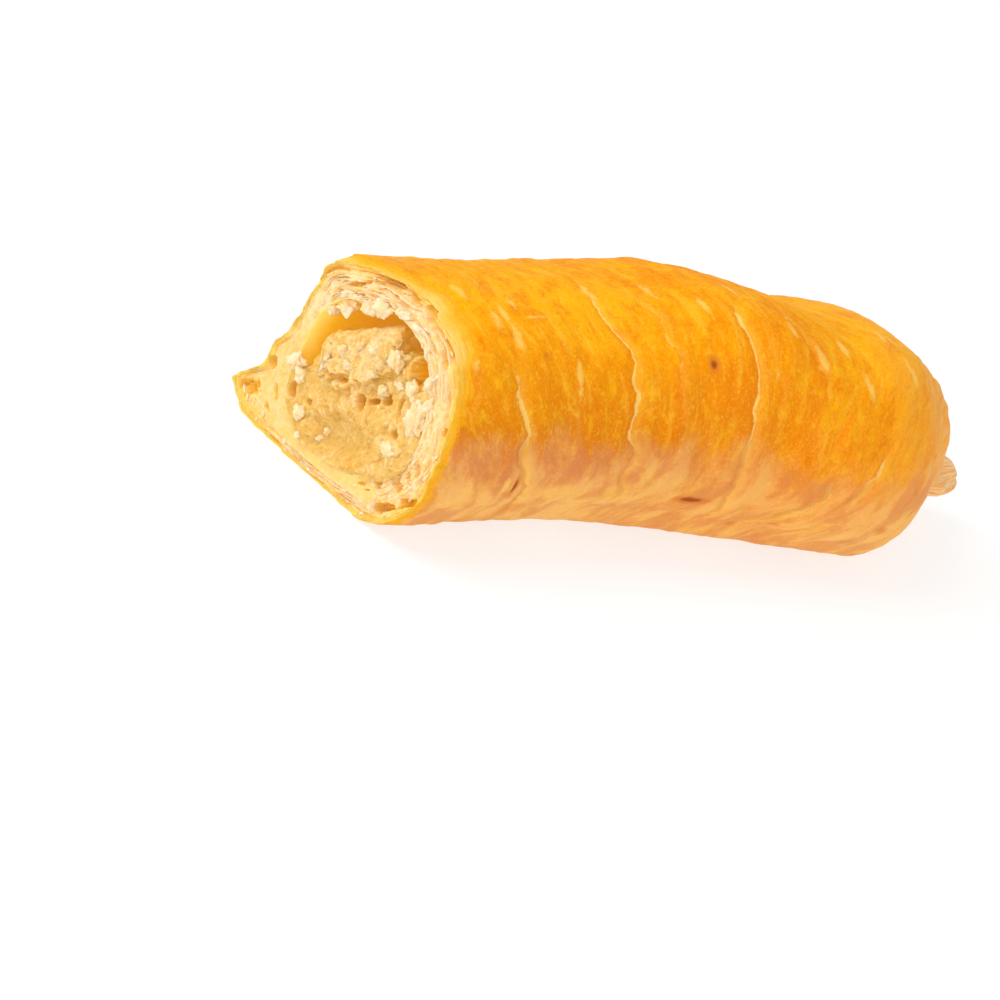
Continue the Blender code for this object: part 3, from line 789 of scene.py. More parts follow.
def make_crust():
    """The baked outer skin, closed behind its torn edge."""
    turn = np.concatenate([
        np.linspace(DENSE_FROM, DENSE_TO, DENSE_COLUMNS, endpoint=False),
        np.linspace(DENSE_TO, 1.0 + DENSE_FROM, BASE_COLUMNS, endpoint=False) % 1.0])
    columns = len(turn)
    outline = outline_at(turn)
    wall = wall_at(angle_round_room(outline))
    front = front_edge(outline) + 0.45 * fractal(skin_place(0.0, turn) / 1.6, 22)

    end_quarter = np.linspace(0.0, math.pi / 2, END_ROWS)
    places = np.concatenate([
        np.arange(0.0, FINE_ROWS_END, CRUST_ROW_STEPS[0]),
        np.arange(FINE_ROWS_END, END_START, CRUST_ROW_STEPS[1]),
        END_START + (BULB_LENGTH - END_START) * np.sin(end_quarter)])[:, None]
    along = places + front * np.clip(1.0 - places / TEAR_FADE, 0.0, 1.0)
    turns = np.broadcast_to(turn, along.shape)
    grid = placed(along, np.broadcast_to(outline, along.shape + (2,)))
    skin = skin_place(along, turns)
    flow = flow_place(along, turns)
    side, strength, crack_height = crack_values(along, turns)
    brown = spots(along, turns, BROWN_SPOTS)
    pale = spots(along, turns, [(place, middle, 1.7 * wide, long, 1.0)
                                for place, middle, wide, long in PALE_MARKS])
    behind = along - front
    skin_start = glaze_start(outline, skin)
    above_base = smooth_step(grid[..., 2], 0.2, 3.0)
    height = crust_relief(grid, along, turns)
    height -= RIM_DROP * top_weight(outline) * np.exp(-places / RIM_DROP_REACH)
    fine = fine_crust_relief(flow, skin) + crack_height + 0.10 * pale - 0.20 * (brown > 0.5) * brown
    height += (fine - rim_terraces(behind, skin_start)) * above_base
    crust = grid + grid_normals(grid) * height[..., None]
    crust[..., 2] = np.maximum(crust[..., 2], 0.0)

    middle = crust[-1].mean(axis=0)
    tongue = tongue_rings(crust[-1], middle)
    inner = inner_rings(crust[0], outline, wall)
    rings = np.array([*tongue[::-1], *crust[::-1], *inner])
    tip = middle + (TONGUE_LENGTH, 0.0, 0.0)
    mesh = capped_rings("pastry_crust", rings, tip, inner[-1].mean(axis=0))

    def stacked(values, inner_value):
        """Values at all points in the order of the rings."""
        tongue_values = np.tile(values[-1], (len(tongue), 1))
        return np.concatenate([tongue_values.ravel(), values[::-1].ravel(),
                               np.full(len(inner) * columns, inner_value), [0.0, 0.0]])

    all_along = np.append(rings[..., 0].ravel(), [tip[0], 0.0])
    all_turns = np.append(np.tile(turn, len(rings)), [0.0, 0.0])
    waves = noises(skin, (13.0, 0.020, 71), (4.6, 0.012, 72), (1.8, 0.006, 73))
    add_values(
        mesh, skin=skin_place(all_along, all_turns), flow=flow_place(all_along, all_turns),
        turn=stacked(turns + waves * smooth_step(turns, 0.0, 0.1), 0.0), along=all_along,
        crack=stacked(side, 9.0), strength=stacked(strength, 0.0), brown=stacked(brown, 0.0),
        pale=stacked(pale, 0.0), behind=stacked(behind - skin_start, -3.0))
    add_piece("pastry_crust", mesh, crust_finish(), "crust", "pastry")


class CrustNodes(Nodes):
    """The crust's nodes, with the noises and stored values that its layers of colour share."""

    def __init__(self):
        super().__init__("baked_crust")
        self.along = self.value("along")
        self.broad = self.noise("skin", 15.0, 15.0, 3.0, 0.55)
        self.grain = self.noise("skin", 0.5, 0.5, 4.0, 0.65)
        self.cloud = self.noise("flow", 5.0, 7.6, 5.0, 0.60, 0.3)
        self.mottle = self.noise("flow", 1.9, 2.9, 5.0, 0.62, 0.4)
        self.streak = self.noise("flow", 0.55, 3.2, 4.0, 0.60, 0.5)
        self.turn = self.plus(self.value("turn"), self.centred(self.cloud), 0.08)
        self.low = self.times(
            self.between(self.turn, 0.515, 0.56), self.between(self.turn, 0.74, 0.68))


def glazed_colour(nodes):
    """Golden glaze, by its place round and along the stick, in clouds, bands and grain."""
    between, times, plus, turn = nodes.between, nodes.times, nodes.plus, nodes.turn
    near_break, near_end = (
        nodes.ramp(turn, *FLANGE_TONES, *middle, *BASE_TONES)
        for middle in (BROKEN_END_TONES, TUCKED_END_TONES))
    far = between(plus(nodes.along, nodes.broad, 40.0), 76.0, 116.0)
    glazed = times(between(turn, 0.12, 0.27, 0.35, 1.0), between(turn, 0.50, 0.57, 1.0, 0.50))
    amber = times(between(nodes.along, 45.0, 64.0), between(nodes.along, 104.0, 84.0, 0.0, 0.55))
    band = nodes.noise("flow", 2.4, 13.0, 3.0, 0.6, 0.3)
    colour = nodes.mix(far, near_break, near_end)
    colour = nodes.mix(times(amber, glazed), colour, (242, 138, 3))
    colour = nodes.tinted(
        colour, (nodes.cloud, 0.50, 0.64, 0.50, (255, 186, 12)),
        (nodes.cloud, 0.47, 0.34, 0.55, (236, 130, 2)),
        (nodes.mottle, 0.52, 0.68, 0.42, (255, 192, 30)),
        (nodes.mottle, 0.47, 0.34, 0.38, (230, 122, 2)),
        (band, 0.54, 0.68, 0.32, (255, 200, 60)), (band, 0.46, 0.34, 0.26, (234, 128, 4)),
        (nodes.streak, 0.60, 0.76, 0.30, (255, 202, 70)), within=glazed)
    return nodes.tinted(
        colour, (nodes.grain, 0.54, 0.66, 0.40, (255, 200, 74)),
        (nodes.grain, 0.46, 0.33, 0.36, (216, 112, 8)),
        (plus(nodes.along, nodes.broad, 30.0), 112.0, 138.0, 0.40, (255, 180, 84)))


def weathered_colour(nodes, colour):
    """Ruddy low side patches of painted floor reflection and buff ones of paler dough, a painted
    sheen on the pale tucked end with its dough, pale marks and browned spots.
    """
    between, plus = nodes.between, nodes.plus
    patchy = nodes.noise("flow", 6.0, 9.0, 5.0, 0.60, 0.4)
    for field, start, end, share, tint, within in (
            # Ruddy patches on the low side: painted reflection of the bright floor in the glaze.
            (patchy, 0.58, 0.38, 0.55, (218, 132, 80), nodes.low),
            (patchy, 0.44, 0.66, 0.50, (248, 192, 112), nodes.low),
            # Pale streaks on the tucked end: painted sheen.
            (nodes.streak, 0.46, 0.62, 0.60, (252, 190, 122), between(nodes.along, 112.0, 130.0))):
        amount = nodes.times(within, between(field, start, end, 0.0, share))
        colour = nodes.mix(amount, colour, tint)
    dough = nodes.mix(between(nodes.mottle, 0.40, 0.60), (255, 214, 158), (246, 180, 104))
    pale = plus(plus(nodes.value("pale"), nodes.mottle, 1.3), nodes.grain, 0.7)
    brown = plus(nodes.value("brown"), nodes.mottle, 0.5)
    return nodes.tinted(
        colour, (plus(nodes.along, patchy, 12.0), 134.0, 141.0, 0.95, dough),
        (pale, 1.38, 2.05, 0.65, (255, 212, 108)), (brown, 0.38, 0.85, 0.60, (214, 118, 46)),
        (brown, 0.90, 1.25, 0.85, (158, 66, 14)))


def cracked_colour(nodes, colour):
    """Shade and light beside the cracks and the pale line in them, which is given as well."""
    between, times, plus = nodes.between, nodes.times, nodes.plus
    crack, strength = nodes.value("crack"), nodes.value("strength")
    for start, middle, end, share, tint in (
            (between(crack, -1.6, -0.2), 0.1, 0.4, 0.40, (216, 118, 20)),
            (between(crack, 0.0, 0.5), 0.5, 2.2, 0.30, (255, 196, 80))):
        side = times(start, between(crack, middle, end, share, 0.0))
        colour = nodes.mix(times(side, strength), colour, tint)
    away = nodes.math("ABSOLUTE", plus(crack, nodes.centred(nodes.grain), 0.7))
    away = plus(away, between(nodes.cloud, 0.48, 0.62, 0.0, 0.30), -1.0)
    broken = between(plus(strength, nodes.mottle, 1.6), 1.15, 1.75)
    line = times(between(away, 0.08, 0.24, 1.0, 0.0), broken)
    line_colour = nodes.mix(times(nodes.low, 0.6), (255, 216, 124), (204, 120, 44))
    return nodes.mix(times(line, 0.70), colour, line_colour), line


def crust_finish():
    """Egg-glazed golden crust, browner on the near side with painted reflection of the floor low
    down, bare along its torn edge.
    """
    nodes = CrustNodes()
    between, plus, grain = nodes.between, nodes.plus, nodes.grain
    colour = weathered_colour(nodes, glazed_colour(nodes))
    colour, line = cracked_colour(nodes, colour)
    shred = nodes.noise("skin", 0.30, 4.0, 4.0, 0.62, 0.5)
    behind = plus(plus(nodes.value("behind"), shred, 2.2), nodes.mottle, 1.6)
    bare = between(behind, 1.2, 2.6, 1.0, 0.0)
    torn = nodes.tinted(
        nodes.ramp(between(behind, -2.6, 2.4), *TORN_TONES),
        (grain, 0.50, 0.72, 0.4, (254, 214, 120)), (shred, 0.50, 0.34, 0.5, (240, 168, 44)))
    relief = nodes.relief(
        (grain, 0.45, 0.13), (nodes.mottle, 0.35, 0.40), (nodes.streak, 0.18, 0.22),
        (nodes.times(bare, shred), 0.6, 0.45), (line, 0.3, -0.12))
    rough = between(plus(bare, grain, 0.3), 0.2, 0.6, 0.30, 0.65)
    nodes.finish({"Coat Weight": between(bare, 0.0, 1.0, 0.10, 0.0), "Coat Roughness": 0.20})
    colour = nodes.mix(bare, colour, torn)
    return nodes.soft_finish(colour, relief, rough, 0.0, 0.10, (1.0, 0.45, 0.12), 1.2)


# ================================================================ torn layers
def sleeve_frame(count):
    """Turn, torn front, sunk outline, wall, angle in degrees and thickness round the sleeve."""
    turn = np.arange(count) / count
    outline = outline_at(turn)
    angle = angle_round_room(outline)
    front = front_edge(outline)
    height = crust_relief(placed(front, outline), front, turn) - RIM_DROP * top_weight(outline)
    height -= sum(step for _, step in TERRACES) * smooth_step(outline[:, 1], 0.2, 3.0)
    forward = np.roll(outline, -1, axis=0) - np.roll(outline, 1, axis=0)
    outward = joined(forward[:, 1], -forward[:, 0]) / np.linalg.norm(forward, axis=1)[:, None]
    outward *= np.sign(np.sum(outward * (outline - outline.mean(axis=0))))
    outline = outline + outward * height[:, None]
    wall = wall_at(angle)
    thickness = np.linalg.norm(wall - outline, axis=1)
    return turn, front, outline, wall, np.degrees(angle), thickness


def window(angle, start, end, soft=14.0):
    """1 for angles in degrees between start and end, soft at both."""
    return plateau(angle, start - soft, start, end, end + soft)


def zones(angle):
    """How much of the sleeve's top, near side, near corner, bottom and flange is at an angle."""
    near = window(angle, 150.0, 400.0) + window(angle, -400.0, -172.0)
    return (window(angle, 32.0, 146.0), near, window(angle, -168.0, -136.0),
            window(angle, -128.0, -52.0), window(angle, -44.0, 4.0))


def through_sleeve(outline, wall, share):
    """Points (y, z) at a share of the way from the sleeve's outline to the room's wall."""
    return outline + (wall - outline) * np.reshape(share, (-1, 1))


def face_base(front, share):
    """Smooth depth of the torn face behind the frontmost point."""
    return front * np.maximum(1.0 - share, 0.0) ** 1.4 + 1.2 * share


def face_holes(flat):
    """Depth of the torn holes at (y, z) points and how warm the painted shade in them is."""
    depth = np.zeros(flat.shape[:-1])
    warmth = np.zeros(flat.shape[:-1])
    ragged = 0.42 * fractal(joined(*flat.T, 0.0) / 1.1, 61)
    for *hole, deepest, warm in FACE_HOLES:
        inside = 1.0 - smooth_step(oval(flat, hole) + ragged, 0.75, 1.15)
        depth = np.maximum(depth, 0.65 * deepest * inside)
        warmth = np.maximum(warmth, warm * inside)
    return depth, warmth


def layer_gaps(skin, depth, seed, long, thick, low, high):
    """Openings between layers, long round the stick and thin across it: 0 to 1."""
    place = joined(depth / thick, skin[..., 1] / long, skin[..., 2] / long)
    return smooth_step(noise(place, seed), low, high)


def make_crumb():
    """The layered, holey inside of the sleeve, a ring with its torn face and the room's wall."""
    turn, front, outline, wall, angle, thickness = sleeve_frame(AROUND_CRUMB)
    top, near, corner, bottom, flange = zones(angle)
    open_share = np.clip(top + 0.55 * near + 0.45 * corner + 0.6 * bottom + 0.3 * flange, 0, 1)
    skin = skin_place(0.0, turn)
    rows = []
    for share in np.linspace(CRUMB_START, 1.0, CRUMB_ROWS):
        flat = through_sleeve(outline, wall, share)
        place = joined(*flat.T, 0.0)
        through = share * thickness + noises(skin, (7.0, 0.7, 31), (2.6, 0.35, 32))
        dense = bottom * smooth_step(share, 0.40, 0.52)
        dense = np.maximum(dense, 0.75 * flange * smooth_step(share, 0.3, 0.5))
        dense = np.maximum(dense, 0.8 * window(angle, -10.0, 28.0) * smooth_step(share, 0.2, 0.5))
        gaps = 0.70 * layer_gaps(skin, through, 33, 7.0, 0.75, 0.12, 0.42)
        gaps += 0.42 * layer_gaps(skin, through, 34, 3.2, 0.42, 0.18, 0.50)
        ridges = 0.36 * noise(joined(through / 0.30, skin[:, 1] / 5.0, skin[:, 2] / 5.0), 35)
        crumb = 0.22 * fractal(place / 1.9, 36) + 0.12 * noise(place / 0.5, 37)
        holes, warmth = face_holes(flat)
        loose = gaps * open_share + ridges * (0.4 + 0.6 * open_share) + crumb + 0.55
        smooth = 0.35 + 0.12 * fractal(place / 1.4, 38) + 0.06 * noise(place / 0.45, 39)
        relief = loose * (1.0 - dense) + smooth * dense
        relief *= 0.2 + 0.8 * smooth_step(share, 0.03, 0.20) - 0.6 * smooth_step(share, 0.93, 1.0)
        depth = face_base(front, share) + relief + holes
        rows.append((placed(np.maximum(depth, 0.0), flat), share, relief + holes, warmth))
    inner_front = rows[-1][0][:, 0]
    inward = np.array(ROOM_CENTRE) - wall
    inward = inward / np.linalg.norm(inward, axis=1, keepdims=True)
    for depth in ROOM_DEPTHS:
        along = inner_front * max(0.0, 1.0 - depth / TEAR_FADE) + depth
        row = placed(along, wall, rounding=False)
        uneven = np.minimum(0.30 * fractal(row / 2.2, 40) * smooth_step(depth, 0.2, 1.5), 0.3)
        row[:, 1:] -= inward * uneven[:, None]
        rows.append((row, ROOM_SHARE, depth, 0.0))
    for share, depth in CRUMB_BACK:
        row = placed(np.full(AROUND_CRUMB, depth), through_sleeve(outline, wall, share))
        rows.append((row, share, 2.0, 0.0))
    rings, shares, depths, warmths = gathered(rows)
    points = rings.reshape(-1, 3)
    mesh = new_mesh("pastry_crumb", points, [ring_faces(*rings.shape[:2], closed=True)])
    add_values(mesh, share=shares, deep=depths, warm=warmths, place=points,
               bottom=np.tile(bottom, len(rows)), flange=np.tile(flange, len(rows)))
    add_piece("pastry_crumb", mesh, crumb_finish(), "crust", "pastry")


def crumb_finish():
    """Soft cream layers, golden along the crust, with golden painted shade in their gaps and holes,
    yellow on the room's wall with painted shade further in.
    """
    nodes = Nodes("pastry_crumb")
    between, times, plus, tinted = nodes.between, nodes.times, nodes.plus, nodes.tinted
    share, deep, warm = (nodes.value(name) for name in ("share", "deep", "warm"))
    soft = nodes.noise("place", 2.2, 1.4, 4.0)
    grain = nodes.noise("place", 0.4, 0.4, 3.0)
    cream = nodes.mix(between(soft, 0.35, 0.65), (243, 211, 166), (238, 193, 122))
    golden = nodes.mix(between(soft, 0.35, 0.65), (252, 196, 84), (240, 174, 58))
    colour = nodes.mix(between(plus(share, soft, 0.25), 0.20, 0.50, 0.85, 0.0), cream, golden)
    dense = times(nodes.value("bottom"), between(share, 0.45, 0.6, 0.0, 0.8))
    colour = nodes.mix(dense, colour, (242, 198, 116))
    colour = nodes.mix(times(nodes.value("flange"), 0.4), colour, (244, 192, 92))
    # Painted shade: golden where the face is sunk deeper and in the holes, warmer where a hole's
    # shade is warmer.
    colour = tinted(
        colour, (deep, 0.9, 2.4, 0.75, (250, 202, 96)), (warm, 0.05, 0.5, 0.80, (253, 208, 92)),
        (warm, 0.45, 0.95, 0.9, (252, 186, 50)))
    room = between(share, 1.02, 1.15)
    # Painted shade on the room's wall, deepening from yellow to orange further in.
    room_colour = nodes.ramp(between(plus(deep, soft, 4.0), 1.0, 22.0), *ROOM_TONES)
    relief = nodes.relief((soft, 0.3, 0.35), (grain, 0.4, 0.16))
    # Painted glow, strongest on the room's wall.
    nodes.painted_glow(between(share, 1.02, 1.15, PAINTED_GLOW, ROOM_PAINTED_GLOW))
    return nodes.soft_finish(
        nodes.mix(room, colour, room_colour), relief, 0.65, 0.12, 0.6, (1.0, 0.68, 0.32), 2.8)


def make_sheets():
    """Ragged thin sheets of pastry that stand out of the torn face here and there."""
    turn, front, outline, wall, angle, thickness = sleeve_frame(AROUND_SHEET)
    top, near, corner, bottom, flange = zones(angle)
    weight = np.clip(1.1 * top + 0.55 * near + 0.5 * corner + 0.9 * bottom, 0.0, 1.0)
    skin = skin_place(0.0, turn)
    rows = []
    faces = []
    for index in range(SHEET_COUNT):
        own = np.array((0.0, 0.0, 7.3 * index))
        middle = 0.07 + 0.88 * (index / (SHEET_COUNT - 1)) ** 0.9
        middle = middle + noises(skin, (8.0, 0.045, 81), (2.6, 0.020, 82), shift=own)
        middle = middle * (1.0 - 0.60 * np.maximum(bottom, 0.5 * flange))
        absent = 1.0 - weight * smooth_step(noise(skin / 8.0 + own, 86), -0.45, 0.0)
        ragged = noises(skin, (4.5, 0.45, 83), (1.7, 0.30, 84), (0.7, 0.20, 85), shift=own)
        holes, _ = face_holes(through_sleeve(outline, wall, middle))
        edge = face_base(front, middle) + ragged + 0.30 + 3.2 * absent + holes
        edge = np.maximum(edge, 0.0)
        quads = ring_faces(2 * len(SHEET_DEPTHS), AROUND_SHEET, closed=True)
        before_wall = middle <= 1.0
        quads = quads[before_wall[quads % AROUND_SHEET].all(axis=1)]
        faces.append(quads + len(rows) * AROUND_SHEET)
        for side, depths in ((-0.5, SHEET_DEPTHS[::-1]), (0.5, SHEET_DEPTHS)):
            for depth in depths:
                flutter = 0.016 * noise(skin / 1.5 + own, 87) * math.exp(-depth / 1.2)
                tapered = 0.30 + 0.70 * (1.0 - math.exp(-depth / 0.5))
                share = middle + flutter + side * SHEET_THICKNESS * tapered / thickness
                row = placed(edge + depth, through_sleeve(outline, wall, share))
                rows.append((row, share, depth))
    rings, shares, edges = gathered(rows)
    points = rings.reshape(-1, 3)
    mesh = new_mesh("pastry_sheets", points, faces)
    add_values(mesh, share=shares, edge=edges, place=points)
    add_piece("pastry_sheets", mesh, sheet_finish(), "crust", "pastry")


def sheet_finish():
    """Thin baked sheets, golden outside and cream inside, palest along their torn edges, with
    golden painted shade further back from them.
    """
    nodes = Nodes("pastry_sheet")
    between, plus = nodes.between, nodes.plus
    share, edge = (nodes.value(name) for name in ("share", "edge"))
    soft = nodes.noise("place", 1.8, 1.2, 4.0)
    fibre = nodes.noise("place", 3.0, 0.5, 3.0)
    cream = nodes.mix(between(soft, 0.35, 0.65), (243, 216, 172), (240, 200, 132))
    golden = nodes.mix(between(soft, 0.35, 0.65), (252, 196, 86), (242, 174, 60))
    colour = nodes.mix(between(plus(share, soft, 0.3), 0.26, 0.58, 1.0, 0.0), cream, golden)
    pale_edge = between(plus(edge, fibre, 0.8), 0.3, 1.2, 0.6, 0.0)
    colour = nodes.mix(pale_edge, colour, (245, 221, 186))
    # Painted shade: golden further back from the sheet's torn edge, where it lies between the other
    # layers.
    colour = nodes.tinted(colour, (edge, 0.6, 2.4, 0.8, (249, 196, 88)))
    relief = nodes.relief((fibre, 0.4, 0.12))
    # Faint painted glow from within.
    nodes.painted_glow(PAINTED_GLOW)
    return nodes.soft_finish(colour, relief, 0.6, 0.12, 0.4, (1.0, 0.6, 0.25), 1.0)


# ================================================================ filling
def filling_outline(angle, place):
    """Outline of the filling at a place along the stick; it meets the wall but for the gap."""
    middle, half_width = (math.radians(value) for value in AIR_GAP_ANGLE)
    open_top = np.exp(-((angle - middle) / half_width) ** 2)
    closing = 1.0 - smooth_step(place, *AIR_GAP_DEPTH)
    around = joined(np.cos(angle), np.sin(angle), place / 6.0) * 6.0
    gap = AIR_GAP + 0.3 + 0.7 * noise(around, 56) + 0.4 * noise(around * 2.7, 57)
    slit = SLIT * np.exp(-((np.degrees(angle) - SLIT_ANGLE[0]) / SLIT_ANGLE[1]) ** 2)
    slit *= 1.0 - smooth_step(place, *SLIT_DEPTH)
    radius = room_radius(angle) + 0.3 - gap * open_top * closing
    radius = radius - slit * (1.0 - open_top) * (1.0 + 0.4 * noise(around * 1.7, 59))
    ragged = 0.35 * noise(around * 0.9, 47) + 0.30 * noise(around * 2.7, 48)
    for facing, distance, reach in FILLING_SIDES:
        off = np.degrees(angle) - facing
        limit = distance / np.cos(np.radians(np.clip(off, -reach, reach)))
        limit = limit + ragged + 6.0 * smooth_step(np.abs(off), reach - 7.0, reach)
        radius = radius - closing * np.maximum(radius - limit, 0.0)
    return np.array(ROOM_CENTRE) + radius[:, None] * joined(np.cos(angle), np.sin(angle))


def filling_depth(points):
    """How far the filling's broken face stands back at (y, z) points, how deep the painted shade is
    in its hollows and between its grains, and its tint.
    """
    flat = joined(points[..., 0], points[..., 1], 0.0)
    ragged = 0.20 * fractal(flat / 1.1, 43)
    bowl = 1.0 - smooth_step(oval(points, BOWL) + 0.5 * ragged, 0.35, 1.05)
    block = 1.0 - smooth_step(oval(points, BLOCK) + ragged, 0.86, 1.06)
    hollow = np.zeros(points.shape[:-1])
    for *shape, deepest in HOLLOWS:
        away = oval(points, shape) + ragged
        hollow = np.maximum(hollow, deepest * (1.0 - smooth_step(away, 0.55, 1.15)))
    warped = flat + 0.35 * joined(noise(flat / 1.1, 44), noise(flat / 1.1, 45), 0.0)
    height = 0.07 * noise(flat / 0.28, 49)
    tint = 0.35 * noise(flat / 5.0, 58) + 0.35 * block - 0.30 * bowl
    for number, (size, rise, share) in enumerate(GRAINS):
        bump, own = grains(warped / size, 60 + 5 * number)
        kept = 1.0 - 0.80 * bowl * (size > 1.0)
        height += rise * kept * bump * (0.8 + 0.2 * own)
        tint += share * kept * own * bump
    recess = np.interp(points[..., 1], FILLING_RECESS_RISE, FILLING_RECESS)
    recess = recess + noises(flat, (4.0, 0.5, 41), (2.2, 0.25, 42))
    recess += BOWL[5] * bowl - BLOCK[5] * block + hollow + 1.0 - height
    # The second value sets the painted shade: deep in the hollows and low between the grains, less
    # in the bowl.
    return recess, hollow + 0.7 * (0.9 * (1.0 - 0.7 * bowl) - height), tint


def make_filling():
    """The roll of almond paste with its crumbly broken face."""
    angle = -math.pi + np.arange(AROUND_FILLING) * math.tau / AROUND_FILLING
    centre = np.array(ROOM_CENTRE)
    front_outline = filling_outline(angle, 0.0)
    off_wall = room_radius(angle) - np.linalg.norm(front_outline - centre, axis=1)
    open_gap = smooth_step(off_wall, 0.2, 2.0)
    rows = []
    for step in range(1, FILLING_RINGS + 1):
        share = step / FILLING_RINGS
        outline = centre + (front_outline - centre) * share
        along, back, tint = filling_depth(outline)
        along = np.maximum(along + 1.3 * open_gap * share ** 16, 0.0)
        rows.append((placed(along, outline, rounding=False), back, tint))
    last = rows[-1][0][:, 0]
    for depth in FILLING_DEPTHS:
        place = last + depth
        outline = filling_outline(angle, depth)
        uneven = 1.0 - 0.022 * fractal(joined(place, *outline.T) / 1.6, 50) - 0.006
        outline = centre + (outline - centre) * uneven[:, None]
        # On the side, the painted shade deepens further in.
        rows.append((placed(place, outline, rounding=False), 0.6 + 0.2 * depth, tint))
    rings, backs, tints = gathered(rows)
    tips = [rings[0].mean(axis=0), rings[-1].mean(axis=0)]
    mesh = capped_rings("almond_paste", rings, *tips)
    add_values(mesh, back=np.append(backs, [0.0, 9.0]), tint=np.append(tints, [0.0, 0.0]),
               place=np.vstack([rings.reshape(-1, 3), tips]))
    add_piece("almond_paste", mesh, paste_finish(), "filling", "almond_filling")


def paste_finish():
    """Moist grainy almond paste, paler on some of its grains, with gold painted shade in its holes,
    between its grains and along its side.
    """
    nodes = Nodes("almond_paste")
    back = nodes.value("back")
    soft = nodes.noise("place", 5.0, 3.4, 4.0)
    blotch = nodes.noise("place", 1.3, 1.3, 4.0, 0.65)
    grain = nodes.noise("place", 0.34, 0.34, 3.0, 0.65)
    pale = nodes.plus(nodes.value("tint"), nodes.centred(blotch), 1.6)
    colour = nodes.tinted(
        nodes.mix(nodes.between(soft, 0.35, 0.65), (226, 182, 100), (217, 168, 82)),
        (pale, 0.0, 0.65, 0.75, (236, 202, 146)), (pale, -0.1, -0.6, 0.40, (216, 166, 72)),
        (grain, 0.54, 0.70, 0.35, (242, 212, 164)), (grain, 0.44, 0.30, 0.30, (212, 160, 64)),
        # Painted shade, gold in the hollows, between the grains and along the side.
        (back, 0.3, 1.2, 0.45, (234, 182, 60)), (back, 1.2, 2.6, 0.80, (236, 176, 16)))
    relief = nodes.relief((blotch, 0.3, 0.30), (grain, 0.5, 0.20))
    # Faint painted glow from within.
    nodes.painted_glow(PAINTED_GLOW)
    return nodes.soft_finish(colour, relief, 0.5, 0.2, 0.6, (1.0, 0.68, 0.30), 2.2)


# ================================================================ loose pieces
def ball(subdivisions):
    """Points and triangles of a ball."""
    shape = bmesh.new()
    bmesh.ops.create_icosphere(shape, subdivisions=subdivisions, radius=1.0)
    points = np.array([vertex.co[:] for vertex in shape.verts])
    faces = np.array([[vertex.index for vertex in face.verts] for face in shape.faces])
    shape.free()
    return points, faces


def make_lumps(name, lumps, subdivisions, finish, slot, node):
    """Angular, rough lumps; each has a middle, radii along x, y, z, a tilt and a seed."""
    directions, triangles = ball(subdivisions)
    points = []
    for number, (middle, radii, tilt, seed) in enumerate(lumps):
        cells = joined(np.arange(14), seed, number)
        cuts = joined(*(lattice_value(cells, 90 + axis) for axis in range(3)))
        cuts /= np.linalg.norm(cuts, axis=1, keepdims=True)
        reach = 0.62 + 0.24 * (lattice_value(cells, 93) + 1.0)
        facing = np.maximum(directions @ cuts.T, 1e-3)
        length = np.minimum(np.min(reach / facing, axis=1), 1.15)
        length = length * (1.0 + 0.26 * fractal(directions * 2.4 + seed, 94, 4, 0.7))
        shape = directions * length[:, None] * np.array(radii)
        points.append(joined(shape[:, 0], *rotated(shape[:, 1], shape[:, 2], tilt)) + middle)
    faces = np.vstack([triangles + len(directions) * number for number in range(len(lumps))])
    points = np.vstack(points)
    points[:, (0, 2)] = np.maximum(points[:, (0, 2)], 0.0)
    mesh = new_mesh(name, points, [faces])
    add_values(mesh, place=points)
    add_piece(name, mesh, finish, slot, node)


def pale_finish(name, light, dark):
    """Pale, slightly translucent almond or dough."""
    nodes = Nodes(name)
    soft = nodes.noise("place", 1.6, 1.6, 4.0, 0.65)
    grain = nodes.noise("place", 0.3, 0.3, 3.0)
    colour = nodes.mix(nodes.between(soft, 0.36, 0.64), light, dark)
    colour = nodes.tinted(colour, (grain, 0.5, 0.7, 0.4, (247, 228, 202)))
    relief = nodes.relief((grain, 0.5, 0.18))
    # Faint painted glow from within.
    nodes.painted_glow(PAINTED_GLOW)
    return nodes.soft_finish(colour, relief, 0.6, 0.15, 0.5, (1.0, 0.72, 0.4), 1.2)


def make_almonds():
    """Pale almond pieces, half sunk in the filling's face."""
    lumps = []
    for number, (side, level, wide, high, tilt, out) in enumerate(ALMONDS):
        depth, _, _ = filling_depth(np.array([[side, level]]))
        place = (depth[0] + 0.9 - 0.8 * out, side, level)
        lumps.append((place, (1.3, 0.9 * wide, 0.9 * high), tilt, number))
    finish = pale_finish("almond", (243, 221, 186), (237, 202, 144))
    make_lumps("almond_pieces", lumps, 4, finish, "filling", "almond_filling")


def make_dough():
    """White lumps that hang from the roof's edge and small flakes on the torn face."""
    lumps = [((place, side, level), (1.4, wide, high), tilt, 40 + number)
             for number, (side, level, wide, high, tilt, place) in enumerate(ROOF_LUMPS)]
    finish = pale_finish("soft_dough", (245, 224, 194), (241, 208, 152))
    make_lumps("dough_lumps", lumps, 4, finish, "crust", "pastry")
    _, front, outline, wall, angle, _ = sleeve_frame(AROUND_SHEET)
    random = np.random.default_rng(11)
    flakes = []
    while len(flakes) < FLAKE_COUNT:
        column = random.integers(AROUND_SHEET)
        share = random.uniform(0.12, 0.98)
        flat = outline[column] + (wall[column] - outline[column]) * share
        place = face_base(front[column], share) + random.uniform(0.4, 0.9)
        size = random.uniform(0.3, 0.9)
        tilt = angle[column] + 90.0 + random.uniform(-25, 25)
        radii = (size * random.uniform(0.3, 0.6), size, size * random.uniform(0.15, 0.3))
        holes, _ = face_holes(flat[None])
        if holes[0] < 0.2:
            flakes.append((placed(place, flat), radii, tilt, len(flakes)))
    make_lumps("pastry_flakes", flakes, 2, finish, "crust", "pastry")


